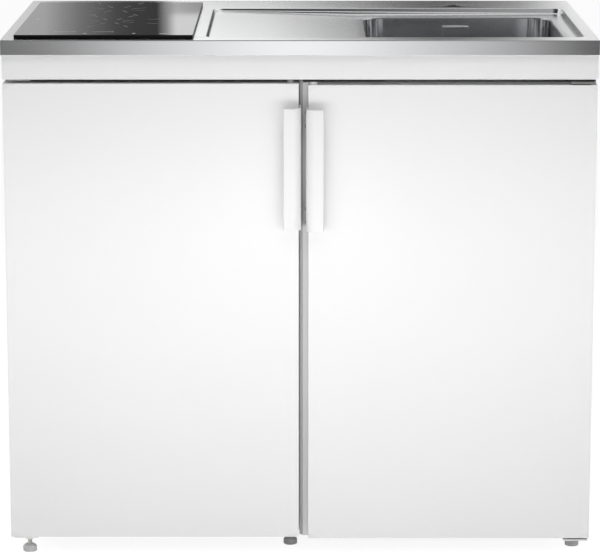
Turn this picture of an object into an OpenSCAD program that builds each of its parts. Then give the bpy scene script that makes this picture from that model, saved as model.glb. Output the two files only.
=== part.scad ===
// Kitchenette unit: an undercounter fridge and a sink cabinet side by side, carrying a
// support frame and one pressed steel worktop with a drainer, a bowl and a glass hob.
// Front faces -Y, +Z is up. The origin is on the floor under the middle of the whole unit.
// Depths named "in" or "back" are measured backwards from the worktop's front edge.

/* [Unit] */
// Width of the worktop
top_w = 1000; // [960:5:1100]
// Depth of the worktop, front edge to wall
top_d = 600; // [590:5:650]
// Height of the worktop's surface above the floor
top_h = 900; // [880:5:930]
// Distance from the worktop's front edge back to the face of the doors
door_setback = 15; // [12:1:20]

/* [Worktop] */
// Thickness of the stainless sheet
sheet_t = 1; // [0.8:0.1:1.2]
// Height of the folded edge on all four sides
edge_h = 26; // [24:1:30]
// Width of the hem folded inwards under the edge
hem_w = 9; // [6:1:12]
// Margin of plain sheet in front of the sink recess
recess_front = 42; // [40:1:48]
// Depth of the sink recess, front to back
recess_d = 428; // [422:1:436]
// Strip of plain sheet between the hob's glass and the sink recess
recess_left = 21; // [16:1:26]
// Margin of plain sheet between the recess and the right end
recess_margin = 23; // [20:1:30]
// Corner radius of the recess
recess_r = 16; // [12:1:20]
// Depth of the recess at the far end of the drainer
drainer_drop = 4; // [3:0.5:5]
// Depth of the recess around the bowl
bowl_drop = 9; // [8:0.5:11]
// Horizontal run of the sloping wall of the recess
recess_slope = 5; // [4:0.5:7]
// Diameter of the tap hole
tap_hole_d = 35; // [34:1:36]
// Distance from the recess back to the middle of the tap hole
tap_back = 42; // [38:1:48]

/* [Bowl] */
// Width of the bowl's mouth
bowl_w = 335; // [325:1:340]
// Depth of the bowl's mouth, front to back
bowl_d = 333; // [320:1:340]
// Depth of the bowl below its rim
bowl_h = 150; // [140:1:160]
// Ledge between the bowl's mouth and the right wall of the recess
bowl_side_ledge = 29; // [26:1:34]
// Ledge between the bowl's mouth and the front wall of the recess
bowl_front_ledge = 33; // [30:1:40]
// Corner radius of the bowl seen from above
bowl_r = 38; // [32:1:44]
// Radius between the bowl's walls and its floor
bowl_floor_r = 20; // [16:1:24]
// How far each wall leans in from the mouth to the floor
bowl_lean = 6; // [4:1:8]
// Diameter of the waste opening in the bowl's floor
waste_hole_d = 90; // [88:1:92]
// Width of the square overflow cover
overflow_w = 48; // [44:1:52]

/* [Hob] */
// Width of the hob's glass
hob_w = 300; // [290:1:304]
// Depth of the hob's glass, front to back
hob_d = 496; // [490:1:500]
// Thickness of the hob's glass
hob_t = 6; // [5:0.5:7]
// Margin of worktop left of the glass
hob_left = 21; // [18:1:26]
// Margin of worktop in front of the glass
hob_front = 23; // [20:1:26]
// How far the glass lies over the worktop around the cut-out
hob_lap = 15; // [12:1:18]
// Height of the tray under the glass
hob_tray_h = 50; // [45:1:54]
// Diameter of the rear cooking zone
zone_large_d = 180; // [170:5:185]
// Diameter of the front cooking zone
zone_small_d = 145; // [135:5:155]

/* [Support frame] */
// Height of the frame below the worktop's folded edge, the white band in front
fascia_h = 42; // [38:1:46]
// Thickness of the frame's sheet
rail_t = 1.2; // [1:0.1:1.5]
// Width of the frame's inward flanges
rail_flange = 18; // [14:1:20]

/* [Fridge] */
// Width of the fridge's case
fridge_w = 500; // [495:1:505]
// Thickness of the fridge's steel sheet
case_t = 0.8; // [0.6:0.1:1]
// Thickness of the foam in the side walls and the top
foam_side = 40; // [36:1:44]
// Thickness of the foam in the back wall
foam_back = 42; // [38:1:46]
// Thickness of the foam under the cavity
foam_floor = 44; // [40:1:48]
// Thickness of the inner plastic skin
liner_t = 2; // [1.5:0.1:2.5]
// Distance from the worktop's front edge to the back of the case
fridge_back_in = 545; // [540:1:550]
// Depth of the recess for the compressor
motor_room_d = 170; // [165:1:175]
// Height of the recess for the compressor
motor_room_h = 190; // [180:1:195]
// Height of the wall ledges under the glass shelves
ledge_h = 6; // [5:1:8]
// How far a wall ledge stands out under a glass shelf
ledge_w = 10; // [8:1:12]
// Thickness of the glass shelves
shelf_t = 4; // [4:0.5:5]
// Height of the lower glass shelf above the cavity floor
shelf_low = 310; // [300:5:320]
// Clear height between the upper glass shelf and the freezer box
shelf_room = 136; // [130:1:145]
// Clear height inside the freezer box
freezer_h = 122; // [115:1:126]
// Distance from the case front back to the freezer box
freezer_in = 148; // [144:1:156]

/* [Fridge door] */
// Thickness of the door, face to inner skin
fridge_door_t = 46; // [42:1:50]
// Gap between door and case, filled by the gasket
gasket_gap = 8; // [7.5:0.5:10]
// Width of the magnetic gasket
gasket_w = 14; // [12:1:16]
// Depth of the racks on the door, front to back
rack_d = 96; // [85:1:98]
// Height of the two upper racks' front walls
rack_h = 62; // [55:1:70]
// Height of the bottle rack's front wall
bottle_rack_h = 85; // [75:1:95]
// Height of the lower rack above the cavity floor
rack_low = 265; // [240:5:290]
// Height of the upper rack above the cavity floor
rack_high = 420; // [400:5:440]

/* [Crisper] */
// Height of the crisper drawer
crisper_h = 160; // [150:1:170]
// Wall of the crisper drawer and of the racks
bin_t = 2.5; // [2:0.1:3]

/* [Cabinet] */
// Gap between the fridge and the cabinet
split_gap = 2; // [1:0.5:3]
// Thickness of the cabinet's steel sheet
panel_t = 1; // [0.8:0.1:1.2]
// Width of the side panels' front flanges
flange_w = 14; // [12:1:15]
// Thickness of the cabinet door
cabinet_door_t = 20; // [18:1:22]
// Gap between the cabinet and its door
cabinet_door_gap = 5; // [4.5:0.5:6]
// Height of the shelf above the cabinet floor
cabinet_shelf_z = 260; // [240:5:290]
// Depth of the cabinet shelf
cabinet_shelf_d = 330; // [300:5:350]

/* [Doors] */
// Gap between the white band and the top of the fridge door
fridge_door_drop = 7; // [6:0.5:9]
// Gap between the white band and the top of the cabinet door
cabinet_door_drop = 9.5; // [9:0.5:11]
// Height of the fridge door's lower edge above the floor
fridge_door_z = 37; // [36:0.5:39]
// Height of the cabinet door's lower edge above the floor
cabinet_door_z = 34.5; // [34:0.5:36]
// How far the fridge door ends short of the fridge's right side
fridge_door_side = 4; // [3:0.5:6]
// Gap between the two doors, which takes both handles
door_split = 16; // [15:0.5:18]
// Thickness of the doors' outer sheet
skin_t = 0.8; // [0.6:0.1:1]
// Height of the plastic end caps in the doors
cap_h = 16; // [14:1:20]
// Width of the corner that the end caps show in the door face
cap_corner_w = 24; // [18:1:28]
// Height of the corner that the end caps show in the door face
cap_corner_h = 10; // [8:1:14]

/* [Handles] */
// Length of the handles
handle_l = 208; // [190:1:220]
// Distance from the top of the door to the top of the handle
handle_drop = 38; // [34:1:50]
// How far the handles stand out from the door face
handle_reach = 28; // [26:1:34]
// Width of the handles seen from the front
handle_w = 30; // [28:1:34]
// Thickness of the handle's mounting strip
handle_strip_t = 4; // [3:0.5:5]
// Thickness of the handle's flap
handle_flap_t = 4; // [3:0.5:5]
// Height of each mounting foot of the handle
handle_foot_h = 45; // [40:1:50]

/* [Hinges] */
// Diameter of the hinge pins
pin_d = 8; // [6:0.5:9]
// Height of the hinge pins above their plates
pin_h = 13; // [11:1:14]
// Distance from the fridge door's edge to its pins
fridge_pin_in = 14; // [12:1:16]
// Distance from the cabinet door's edge to its pins
cabinet_pin_in = 9; // [8:1:10]
// Thickness of the hinge plates
hinge_t = 3; // [2.5:0.5:3]

/* [Feet] */
// Diameter of the feet
foot_d = 24; // [22:1:32]
// Height of the foot discs
foot_h = 12; // [10:1:14]
// Diameter of the screws of the feet
foot_screw_d = 8; // [6:1:10]
// Height of the fridge's base above the floor
fridge_base_z = 34; // [33:0.5:35]
// Height of the cabinet's base above the floor
cabinet_base_z = 32; // [31:0.5:33]

/* [Fits] */
// Clearance between two pieces that move past each other
run_gap = 0.3; // [0.2:0.05:0.5]
// Clearance on the radius of the hinge pins and the foot screws
pin_gap = 0.06; // [0.02:0.01:0.1]
// Clearance around the hob's tray in its cut-out
tray_gap = 4; // [2:0.5:6]

/* [Hidden] */

// ---- places shared by several pieces ----
// The handles reach past the worktop's front edge, so the middle of the unit takes them in
handle_over = handle_reach - door_setback;
y_front = (handle_over - top_d) / 2;
function in_y(depth) = y_front + depth;
y_back = in_y(top_d);
cut = 1;

x_left = -top_w / 2;
x_right = top_w / 2;
edge_z = top_h - edge_h;
frame_z = edge_z - fascia_h;
sheet_z = top_h - sheet_t;

// Sink recess and bowl
recess_x1 = x_right - recess_margin;
recess_x0 = x_left + hob_left + hob_w + recess_left;
recess_y0 = in_y(recess_front);
recess_y1 = recess_y0 + recess_d;
bowl_x1 = recess_x1 - bowl_side_ledge;
bowl_x0 = bowl_x1 - bowl_w;
bowl_y0 = recess_y0 + bowl_front_ledge;
bowl_y1 = bowl_y0 + bowl_d;
bowl_x = (bowl_x0 + bowl_x1) / 2;
bowl_y = (bowl_y0 + bowl_y1) / 2;
mouth_z = top_h - bowl_drop;
bowl_floor_z = mouth_z - bowl_h;
drainer_x1 = bowl_x0 - recess_r;
tap_y = recess_y1 + tap_back;

// Overflow and waste
overflow_drop = 14;
overflow_t = 8;
overflow_top_z = mouth_z - overflow_drop;
overflow_z = overflow_top_z - overflow_w / 2;
overflow_hole_r = 12;
hose_r = 11;
hose_wall = 2;
hose_bend = 24;
hose_back = 26;
waste_flange_r = 57;
waste_flange_t = 1.5;
waste_wall = 2;
waste_cup_r = waste_hole_d / 2 - 1;
waste_cup_h = 46;
waste_nut_h = 7;
pipe_r = 20;
pipe_wall = 2;
spigot_h = 26;
port_z = bowl_floor_z - sheet_t - waste_nut_h - hose_r - 4;
cup_floor_z = bowl_floor_z - waste_cup_h;
spigot_z = cup_floor_z - spigot_h;
trap_nut_r = 27;
trap_nut_h = 22;
trap_drop = 64;
trap_r = 38;
trap_h = 92;
trap_top_z = spigot_z - trap_drop;
trap_out_z = trap_top_z - 26;
trap_socket_r = 25;
trap_socket_l = 24;
trap_wall = 3;
trap_seam = 62;
trap_seam_z = trap_top_z - trap_seam;
trap_ring_w = 4;
trap_ring_up = 10;
trap_ring_down = 8;
socket_floor = 4;
plug_r = pipe_r - 0.8;
pipe_end_gap = 5;
basket_r = waste_cup_r - waste_wall - 3;
basket_h = 34;
basket_rim = 2;

// Hob
hob_x0 = x_left + hob_left;
hob_x1 = hob_x0 + hob_w;
hob_y0 = in_y(hob_front);
hob_y1 = hob_y0 + hob_d;
hob_x = (hob_x0 + hob_x1) / 2;
hob_r = 4;
hob_hole_r = 6;
tray_in = hob_lap + tray_gap;
tray_t = 0.8;
tray_z = top_h - hob_tray_h;
zone_margin = 24;
zone_large_y = hob_y1 - zone_margin - zone_large_d / 2;
zone_small_y = zone_large_y - zone_large_d / 2 - zone_margin - zone_small_d / 2;
dish_h = 22;
dish_wall = 2;
clamp_in = 130;

// Fridge
body_inset = 2;
fridge_x0 = x_left + body_inset;
fridge_x1 = fridge_x0 + fridge_w;
fridge_in = door_setback + fridge_door_t + gasket_gap;
fridge_y0 = in_y(fridge_in);
fridge_y1 = in_y(fridge_back_in);
cavity_x0 = fridge_x0 + case_t + foam_side + liner_t;
cavity_x1 = fridge_x1 - case_t - foam_side - liner_t;
cavity_y1 = fridge_y1 - case_t - foam_back - liner_t;
cavity_z0 = fridge_base_z + case_t + foam_floor + liner_t;
cavity_z1 = frame_z - case_t - foam_side - liner_t;
motor_y0 = fridge_y1 - motor_room_d;
motor_z1 = fridge_base_z + motor_room_h;
hump_foam = 30;
hump_y0 = motor_y0 - case_t - hump_foam - liner_t;
hump_z1 = motor_z1 + case_t + hump_foam + liner_t;
shelf_gap = 2;
shelf_in = 106;
shelf_front_in = fridge_in + shelf_in;
freezer_side = 8;
freezer_t = 1.5;
freezer_hang = 3;
freezer_y0 = fridge_y0 + freezer_in;
freezer_y1 = cavity_y1 - 12;
freezer_z1 = cavity_z1 - freezer_hang;
freezer_z0 = freezer_z1 - freezer_h - 2 * freezer_t;
shelf_high_z = freezer_z0 - shelf_room - shelf_t;
freezer_x0 = cavity_x0 + freezer_side;
freezer_x1 = cavity_x1 - freezer_side;
bead_r = 4;
flap_pin_r = 2.5;
flap_pin_l = 4;
flap_t = 5;
flap_y = freezer_y0 - run_gap - bead_r;
flap_z = freezer_z0 + bead_r;
flap_h = freezer_h - 4;
ear_t = 3;
thermostat_in = 250;
thermostat_y = fridge_y0 + thermostat_in;
thermostat_z = (shelf_high_z + shelf_t + freezer_z0) / 2;
thermostat_l = 150;
thermostat_h = 62;
thermostat_t = 28;
knob_r = 14;
knob_h = 11;
knob_y = thermostat_y - 35;

// Crisper
crisper_in = shelf_front_in - 3;
crisper_y0 = in_y(crisper_in);
crisper_back = 4;
crisper_y1 = hump_y0 - crisper_back;
crisper_side = 6;
crisper_x0 = cavity_x0 + crisper_side;
crisper_x1 = cavity_x1 - crisper_side;
crisper_z0 = cavity_z0 + run_gap;
crisper_r = 12;
crisper_lip_w = 140;
crisper_lip_d = 8;
crisper_lip_h = 5;

// Cabinet
cabinet_x0 = fridge_x1 + split_gap;
cabinet_x1 = x_right - body_inset;
cabinet_back_in = top_d - 10;
cabinet_in = door_setback + cabinet_door_t + cabinet_door_gap;
cabinet_y0 = in_y(cabinet_in);
cabinet_y1 = in_y(cabinet_back_in);
floor_edge_h = 20;
shelf_edge_h = 20;
service_w = 260;
service_z = cabinet_base_z + 340;
service_over = 80;

// Doors
door_y0 = in_y(door_setback);
fridge_door_y1 = door_y0 + fridge_door_t;
fridge_door_x0 = fridge_x0;
fridge_door_x1 = fridge_x1 - fridge_door_side;
fridge_door_z1 = frame_z - fridge_door_drop;
cabinet_door_y1 = door_y0 + cabinet_door_t;
cabinet_door_x1 = cabinet_x1;
cabinet_door_x0 = fridge_door_x1 + door_split;
cabinet_door_z1 = frame_z - cabinet_door_drop;

// Gasket, and the ridges on the door's inner skin that carry the racks
gasket_x0 = cavity_x0 - gasket_w - 4;
gasket_x1 = cavity_x1 + gasket_w + 4;
gasket_z0 = cavity_z0 - gasket_w - 2;
gasket_z1 = cavity_z1 + gasket_w + 2;
ridge_in = 12;
ridge_w = 18;
ridge_h = 22;
ridge_z0 = cavity_z0 + 12;
ridge_z1 = cavity_z1 - 14;
rack_y0 = fridge_door_y1;
rack_y1 = fridge_door_y1 + rack_d;
rack_x0 = cavity_x0 + ridge_in + ridge_w;
rack_x1 = cavity_x1 - ridge_in - ridge_w;

// Hinges
fridge_pin_back = 22;
fridge_pin_x = fridge_door_x0 + fridge_pin_in;
fridge_pin_y = fridge_door_y1 - fridge_pin_back;
cabinet_pin_x = cabinet_door_x1 - cabinet_pin_in;
cabinet_pin_y = door_y0 + cabinet_door_t / 2;
hinge_w = 42;
hinge_edge = 10;
hinge_rise = 2;
fridge_hinge_z = fridge_door_z1 + hinge_rise;
cabinet_hinge_z = cabinet_door_z1 + hinge_rise;
cabinet_lower_z = cabinet_base_z - hinge_t;
hinge_inset = 2;
bar_h = 46;
bar_d = 36;

// Feet
foot_nut_h = 9;
foot_nut_r = 8;
fridge_foot_left = 28;
fridge_foot_right = 19;
hinge_foot_back = 12;
fridge_foot_back = 29;
fridge_hinge_foot = [fridge_x0 + fridge_foot_left, fridge_y0 - hinge_foot_back];
fridge_inner_foot = [fridge_x1 - fridge_foot_right, fridge_y0 + fridge_foot_back];
cabinet_hinge_side = 22;
cabinet_hinge_back = 49;
cabinet_foot_back = 125;
cabinet_hinge_foot = [cabinet_x1 - cabinet_hinge_side, cabinet_y0 + cabinet_hinge_back];
cabinet_foot_in = 24;
cabinet_inner_foot = [cabinet_x0 + cabinet_foot_in, cabinet_y0 + cabinet_foot_back];
rear_foot_in = 45;
glide_in = 30;
cabinet_rear_y = cabinet_y1 - rear_foot_in;
cabinet_rear_left = [cabinet_x0 + cabinet_foot_in, cabinet_rear_y];
cabinet_rear_right = [cabinet_x1 - cabinet_foot_in, cabinet_rear_y];

// ---- colours ----
steel = [0.76, 0.77, 0.78];
white = [0.95, 0.95, 0.95];
grey = [0.62, 0.63, 0.64];
black = [0.07, 0.07, 0.08];
clear = [0.80, 0.88, 0.90, 0.45];
foam = [0.93, 0.87, 0.66];

// ---- shapes ----
// A box between two corners
module block(x0, x1, y0, y1, z0, z1)
  translate([x0, y0, z0]) cube([x1 - x0, y1 - y0, z1 - z0]);

// A flat outline with round corners
module round_rect(x0, x1, y0, y1, r) {
  translate([x0 + r, y0]) square([x1 - x0 - 2 * r, y1 - y0]);
  translate([x0, y0 + r]) square([x1 - x0, y1 - y0 - 2 * r]);
  for (x = [x0 + r, x1 - r], y = [y0 + r, y1 - r])
    translate([x, y]) circle(r);
}

// A plate with round corners seen from above
module round_plate(x0, x1, y0, y1, z0, z1, r)
  translate([0, 0, z0]) linear_extrude(z1 - z0) round_rect(x0, x1, y0, y1, r);

// The same seen along X
module round_plate_x(x0, x1, y0, y1, z0, z1, r)
  translate([x0, 0, 0]) rotate([90, 0, 90]) linear_extrude(x1 - x0)
    round_rect(y0, y1, z0, z1, r);

// The same seen along Y
module round_plate_y(x0, x1, y0, y1, z0, z1, r)
  translate([0, y1, 0]) rotate([90, 0, 0]) linear_extrude(y1 - y0)
    round_rect(x0, x1, z0, z1, r);

// A profile of [y, z] points drawn out along X
module along_x(x0, x1, points)
  translate([x0, 0, 0]) rotate([90, 0, 90]) linear_extrude(x1 - x0) polygon(points);

// A profile of [x, z] points drawn out along Y
module along_y(y0, y1, points)
  translate([0, y1, 0]) rotate([90, 0, 0]) linear_extrude(y1 - y0) polygon(points);

// A C-shaped profile: web at u0, flanges towards u1, between v0 and v1
function c_profile(u0, u1, v0, v1, t) =
  let (s = u1 > u0 ? t : -t)
  [[u0, v0], [u1, v0], [u1, v0 + t], [u0 + s, v0 + t], [u0 + s, v1 - t], [u1, v1 - t],
   [u1, v1], [u0, v1]];

// A tray's profile: flat at v0 from u0 to u1, with edges h high turned up
function c_profile_up(u0, u1, v0, h, t) =
  [[u0, v0], [u1, v0], [u1, v0 + h], [u1 - t, v0 + h], [u1 - t, v0 + t], [u0 + t, v0 + t],
   [u0 + t, v0 + h], [u0, v0 + h]];

// A bin open at the top, with round corners
module bin(x0, x1, y0, y1, z0, h, t, r) difference() {
  round_plate(x0, x1, y0, y1, z0, z0 + h, r);
  round_plate(x0 + t, x1 - t, y0 + t, y1 - t, z0 + t, z0 + h + cut, r - t / 2);
}

// A straight rod along Y
module rod_y(x, y0, y1, z, r)
  translate([x, y0, z]) rotate([-90, 0, 0]) cylinder(h = y1 - y0, r = r, $fn = 64);

// A straight rod along X
module rod_x(x0, x1, y, z, r)
  translate([x0, y, z]) rotate([0, 90, 0]) cylinder(h = x1 - x0, r = r, $fn = 48);

// ---- worktop and sink ----
// One conical post at a corner of the recess, drop deep
module recess_post(x, y, drop, grow)
  translate([x, y, top_h - drop])
    cylinder(h = drop + cut, r1 = recess_r - recess_slope + grow,
             r2 = recess_r + grow + recess_slope * cut / drop, $fn = 48);

// The recess as a solid, sloping down along the drainer and flat around the bowl
module recess_form(grow = 0) {
  ys = [recess_y0 + recess_r, recess_y1 - recess_r];
  hull() {
    for (y = ys) recess_post(recess_x0 + recess_r, y, drainer_drop, grow);
    for (y = ys) recess_post(drainer_x1, y, bowl_drop, grow);
  }
  hull() {
    for (y = ys) recess_post(drainer_x1, y, bowl_drop, grow);
    for (y = ys) recess_post(recess_x1 - recess_r, y, bowl_drop, grow);
  }
}

// The bowl as a solid, from above its mouth to its rounded floor
module bowl_form(grow, rise) hull() {
  mouth_r = bowl_r + grow;
  for (x = [bowl_x0 + bowl_r, bowl_x1 - bowl_r], y = [bowl_y0 + bowl_r, bowl_y1 - bowl_r])
    translate([x, y, mouth_z]) cylinder(h = rise, r = mouth_r, $fn = 48);
  side = bowl_r + bowl_lean;
  for (x = [bowl_x0 + side, bowl_x1 - side], y = [bowl_y0 + side, bowl_y1 - side])
    translate([x, y, bowl_floor_z + bowl_floor_r])
      rotate_extrude($fn = 48) intersection() {
        translate([bowl_r - bowl_floor_r, 0]) circle(bowl_floor_r + grow, $fn = 32);
        translate([0, -bowl_floor_r - grow]) square(2 * (bowl_floor_r + grow));
      }
}

module worktop() color(steel) difference() {
  union() {
    difference() {
      block(x_left, x_right, y_front, y_back, edge_z, top_h);
      block(x_left + sheet_t, x_right - sheet_t, y_front + sheet_t, y_back - sheet_t,
            edge_z - cut, sheet_z);
    }
    // hems under the front and the back edge
    block(x_left, x_right, y_front, y_front + hem_w, edge_z, edge_z + sheet_t);
    block(x_left, x_right, y_back - hem_w, y_back, edge_z, edge_z + sheet_t);
    intersection() {
      translate([0, 0, -sheet_t]) recess_form(sheet_t);
      block(x_left, x_right, y_front, y_back, edge_z, top_h);
    }
  }
  recess_form();
  bowl_form(sheet_t, cut);
  round_plate(hob_x0 + hob_lap, hob_x1 - hob_lap, hob_y0 + hob_lap, hob_y1 - hob_lap,
              edge_z, top_h + cut, hob_hole_r);
  translate([bowl_x, tap_y, edge_z])
    cylinder(h = edge_h + cut, d = tap_hole_d, $fn = 96);
}

module sink_bowl() color(steel) difference() {
  intersection() {
    bowl_form(sheet_t, cut);
    block(bowl_x0 - cut - sheet_t, bowl_x1 + cut + sheet_t, bowl_y0 - cut - sheet_t,
          bowl_y1 + cut + sheet_t, bowl_floor_z - 2 * sheet_t, mouth_z);
  }
  bowl_form(0, cut);
  translate([bowl_x, bowl_y, bowl_floor_z - cut - sheet_t])
    cylinder(h = sheet_t + 2 * cut, d = waste_hole_d, $fn = 96);
  rod_y(bowl_x, bowl_y1 - bowl_floor_r, bowl_y1 + cut + sheet_t, overflow_z,
        overflow_hole_r);
}

module overflow_cover() color(steel) difference() {
  intersection() {
    block(bowl_x - overflow_w / 2, bowl_x + overflow_w / 2, bowl_y1 - overflow_t - bowl_lean,
          bowl_y1, overflow_top_z - overflow_w, overflow_top_z);
    bowl_form(0, cut);
  }
  // the slot on top that the water runs into, and the way through to the hole
  block(bowl_x - overflow_w / 4, bowl_x + overflow_w / 4, bowl_y1 - overflow_t, bowl_y1,
        overflow_z, overflow_top_z + cut);
}

// Path of the overflow hose, drawn with the radius that is given
module hose_path(r, over) {
  y_down = bowl_y1 + hose_back;
  rod_y(bowl_x, bowl_y1 + sheet_t + over, y_down, overflow_z, r);
  translate([bowl_x, y_down, overflow_z]) sphere(r, $fn = 48);
  translate([bowl_x, y_down, port_z + hose_bend])
    cylinder(h = overflow_z - port_z - hose_bend, r = r, $fn = 48);
  translate([bowl_x, y_down - hose_bend, port_z + hose_bend])
    rotate([0, 90, 0]) rotate_extrude(angle = 90, $fn = 96)
      translate([hose_bend, 0]) circle(r, $fn = 48);
  rod_y(bowl_x, bowl_y + waste_cup_r + over, y_down - hose_bend, port_z, r);
}

module overflow_hose() color(grey) difference() {
  union() {
    hose_path(hose_r, 0);
    // the elbow's flange behind the bowl's wall
    rod_y(bowl_x, bowl_y1 + sheet_t, bowl_y1 + sheet_t + 4, overflow_z, overflow_hole_r + 6);
  }
  hose_path(hose_r - hose_wall, -cut);
}

// The part of the waste that stands in the bowl's floor: flange, cup, nut and spigot
module waste_body() color(steel) translate([bowl_x, bowl_y, 0]) difference() {
  nut_z = bowl_floor_z - sheet_t;
  nut_r = waste_flange_r - 1;
  rotate_extrude($fn = 96) polygon([
    [waste_cup_r - waste_wall, cup_floor_z + waste_wall],
    [waste_cup_r - waste_wall, bowl_floor_z + waste_flange_t],
    [waste_flange_r, bowl_floor_z + waste_flange_t / 2],
    [waste_flange_r, bowl_floor_z], [waste_cup_r, bowl_floor_z],
    [waste_cup_r, nut_z], [nut_r, nut_z], [nut_r, nut_z - waste_nut_h],
    [waste_cup_r, nut_z - waste_nut_h], [waste_cup_r, cup_floor_z],
    [pipe_r, cup_floor_z], [pipe_r, spigot_z],
    [pipe_r - pipe_wall, spigot_z], [pipe_r - pipe_wall, cup_floor_z + waste_wall]
  ]);
  // port of the overflow hose
  rod_y(0, waste_cup_r - waste_wall - cut, waste_cup_r + cut, port_z, hose_r - hose_wall);
}

module strainer_basket() color(steel) translate([bowl_x, bowl_y, 0]) {
  rim_z = bowl_floor_z + waste_flange_t + run_gap;
  floor_z = rim_z - basket_h;
  knob_h = basket_h - 6;
  difference() {
    rotate_extrude($fn = 96) polygon([
      [0, floor_z], [basket_r - 4, floor_z], [basket_r, rim_z],
      [waste_cup_r, rim_z], [waste_cup_r, rim_z + basket_rim],
      [basket_r - 1.2, rim_z + basket_rim], [basket_r - 5.2, floor_z + 1.2], [0, floor_z + 1.2]
    ]);
    // drain holes in two rings
    for (ring = [1:2], i = [0 : 6 * ring - 1])
      rotate(i * 60 / ring) translate([ring * 13, 0, floor_z - cut])
        cylinder(h = 4, r = 2.5, $fn = 16);
  }
  translate([0, 0, floor_z + 1.2]) cylinder(h = knob_h, r = 3, $fn = 32);
  translate([0, 0, floor_z + 1.2 + knob_h]) cylinder(h = 5, r1 = 6, r2 = 8, $fn = 32);
}

// The trap's upper half: nut, neck, shoulders and the socket for the outlet pipe
module bottle_trap() color(white) translate([bowl_x, bowl_y, 0]) difference() {
  union() {
    rotate_extrude($fn = 96) polygon([
      [pipe_r, spigot_z], [pipe_r, spigot_z + trap_nut_h / 2],
      [trap_nut_r, spigot_z + trap_nut_h / 2], [trap_nut_r, spigot_z - trap_nut_h / 2],
      [pipe_r, spigot_z - trap_nut_h / 2], [pipe_r, trap_top_z + 14],
      [trap_r - 8, trap_top_z + 8], [trap_r, trap_top_z], [trap_r, trap_seam_z],
      [trap_r - trap_wall, trap_seam_z], [trap_r - trap_wall, trap_top_z - 2],
      [pipe_r - pipe_wall, trap_top_z + 10], [pipe_r - pipe_wall, spigot_z]
    ]);
    rod_y(0, trap_r - trap_wall - 2, trap_r + trap_socket_l, trap_out_z, trap_socket_r);
  }
  rod_y(0, 0, trap_r + socket_floor, trap_out_z, pipe_r - pipe_wall);
  rod_y(0, trap_r + socket_floor, trap_r + trap_socket_l + cut, trap_out_z, plug_r + pin_gap);
}

// The cup that unscrews for cleaning, with its ring around the upper half
module trap_cup() color(white) translate([bowl_x, bowl_y, 0]) {
  ring_r = trap_r + pin_gap;
  floor_z = trap_top_z - trap_h;
  rotate_extrude($fn = 96) polygon([
    [trap_r - trap_wall, trap_seam_z], [ring_r, trap_seam_z],
    [ring_r, trap_seam_z + trap_ring_up], [ring_r + trap_ring_w, trap_seam_z + trap_ring_up],
    [ring_r + trap_ring_w, trap_seam_z - trap_ring_down],
    [trap_r, trap_seam_z - trap_ring_down], [trap_r, floor_z + 14], [trap_r - 10, floor_z],
    [0, floor_z], [0, floor_z + trap_wall], [trap_r - 11, floor_z + trap_wall],
    [trap_r - trap_wall, floor_z + 15]
  ]);
}

// The pipe to the wall, with a shouldered end that plugs into the trap
module waste_outlet_pipe() color(white) difference() {
  y0 = bowl_y + trap_r + socket_floor;
  shoulder_y = bowl_y + trap_r + trap_socket_l;
  union() {
    rod_y(bowl_x, y0, shoulder_y, trap_out_z, plug_r);
    rod_y(bowl_x, shoulder_y, y_back - pipe_end_gap, trap_out_z, pipe_r);
  }
  rod_y(bowl_x, y0 - cut, y_back, trap_out_z, pipe_r - pipe_wall);
}

// ---- support frame ----
module fascia_panel() color(white)
  along_x(x_left + sheet_t, x_right - sheet_t,
          c_profile(door_y0, door_y0 + rail_flange, frame_z, sheet_z, rail_t));

module frame_side_rails() color(grey) {
  y0 = door_y0 + rail_flange;
  y1 = cabinet_y1 - rail_flange;
  along_y(y0, y1, c_profile(x_left + sheet_t, x_left + sheet_t + rail_flange, frame_z,
                            sheet_z, rail_t));
  along_y(y0, y1, c_profile(x_right - sheet_t, x_right - sheet_t - rail_flange, frame_z,
                            sheet_z, rail_t));
}

module frame_rear_rail() color(grey)
  along_x(x_left + sheet_t, x_right - sheet_t,
          c_profile(cabinet_y1, cabinet_y1 - rail_flange, frame_z, sheet_z, rail_t));

// ---- hob ----
module hob_glass() color(black)
  round_plate(hob_x0, hob_x1, hob_y0, hob_y1, top_h, top_h + hob_t, hob_r);

module hob_tray() color(grey) difference() {
  round_plate(hob_x0 + tray_in, hob_x1 - tray_in, hob_y0 + tray_in, hob_y1 - tray_in,
              tray_z, top_h, hob_r);
  round_plate(hob_x0 + tray_in + tray_t, hob_x1 - tray_in - tray_t,
              hob_y0 + tray_in + tray_t, hob_y1 - tray_in - tray_t,
              tray_z + tray_t, top_h + cut, hob_r - tray_t);
}

// One heater: a dish with its coil rings, on the post that presses it to the glass
module heater(y, d) translate([hob_x, y, 0]) {
  dish_z = top_h - dish_h;
  rotate_extrude($fn = 96) difference() {
    translate([0, dish_z]) square([d / 2, dish_h]);
    translate([-cut, dish_z + dish_wall + 6]) square([d / 2 - dish_wall - 6 + cut, dish_h]);
  }
  for (r = [14 : 12 : d / 2 - 14])
    translate([0, 0, dish_z + dish_wall + 6])
      rotate_extrude($fn = 64) translate([r, 0]) square([1.5, 8]);
  translate([0, 0, tray_z + tray_t]) cylinder(h = dish_z - tray_z - tray_t, r = 8, $fn = 32);
}

module radiant_heaters() color(grey) {
  heater(zone_large_y, zone_large_d);
  heater(zone_small_y, zone_small_d);
}

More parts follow.
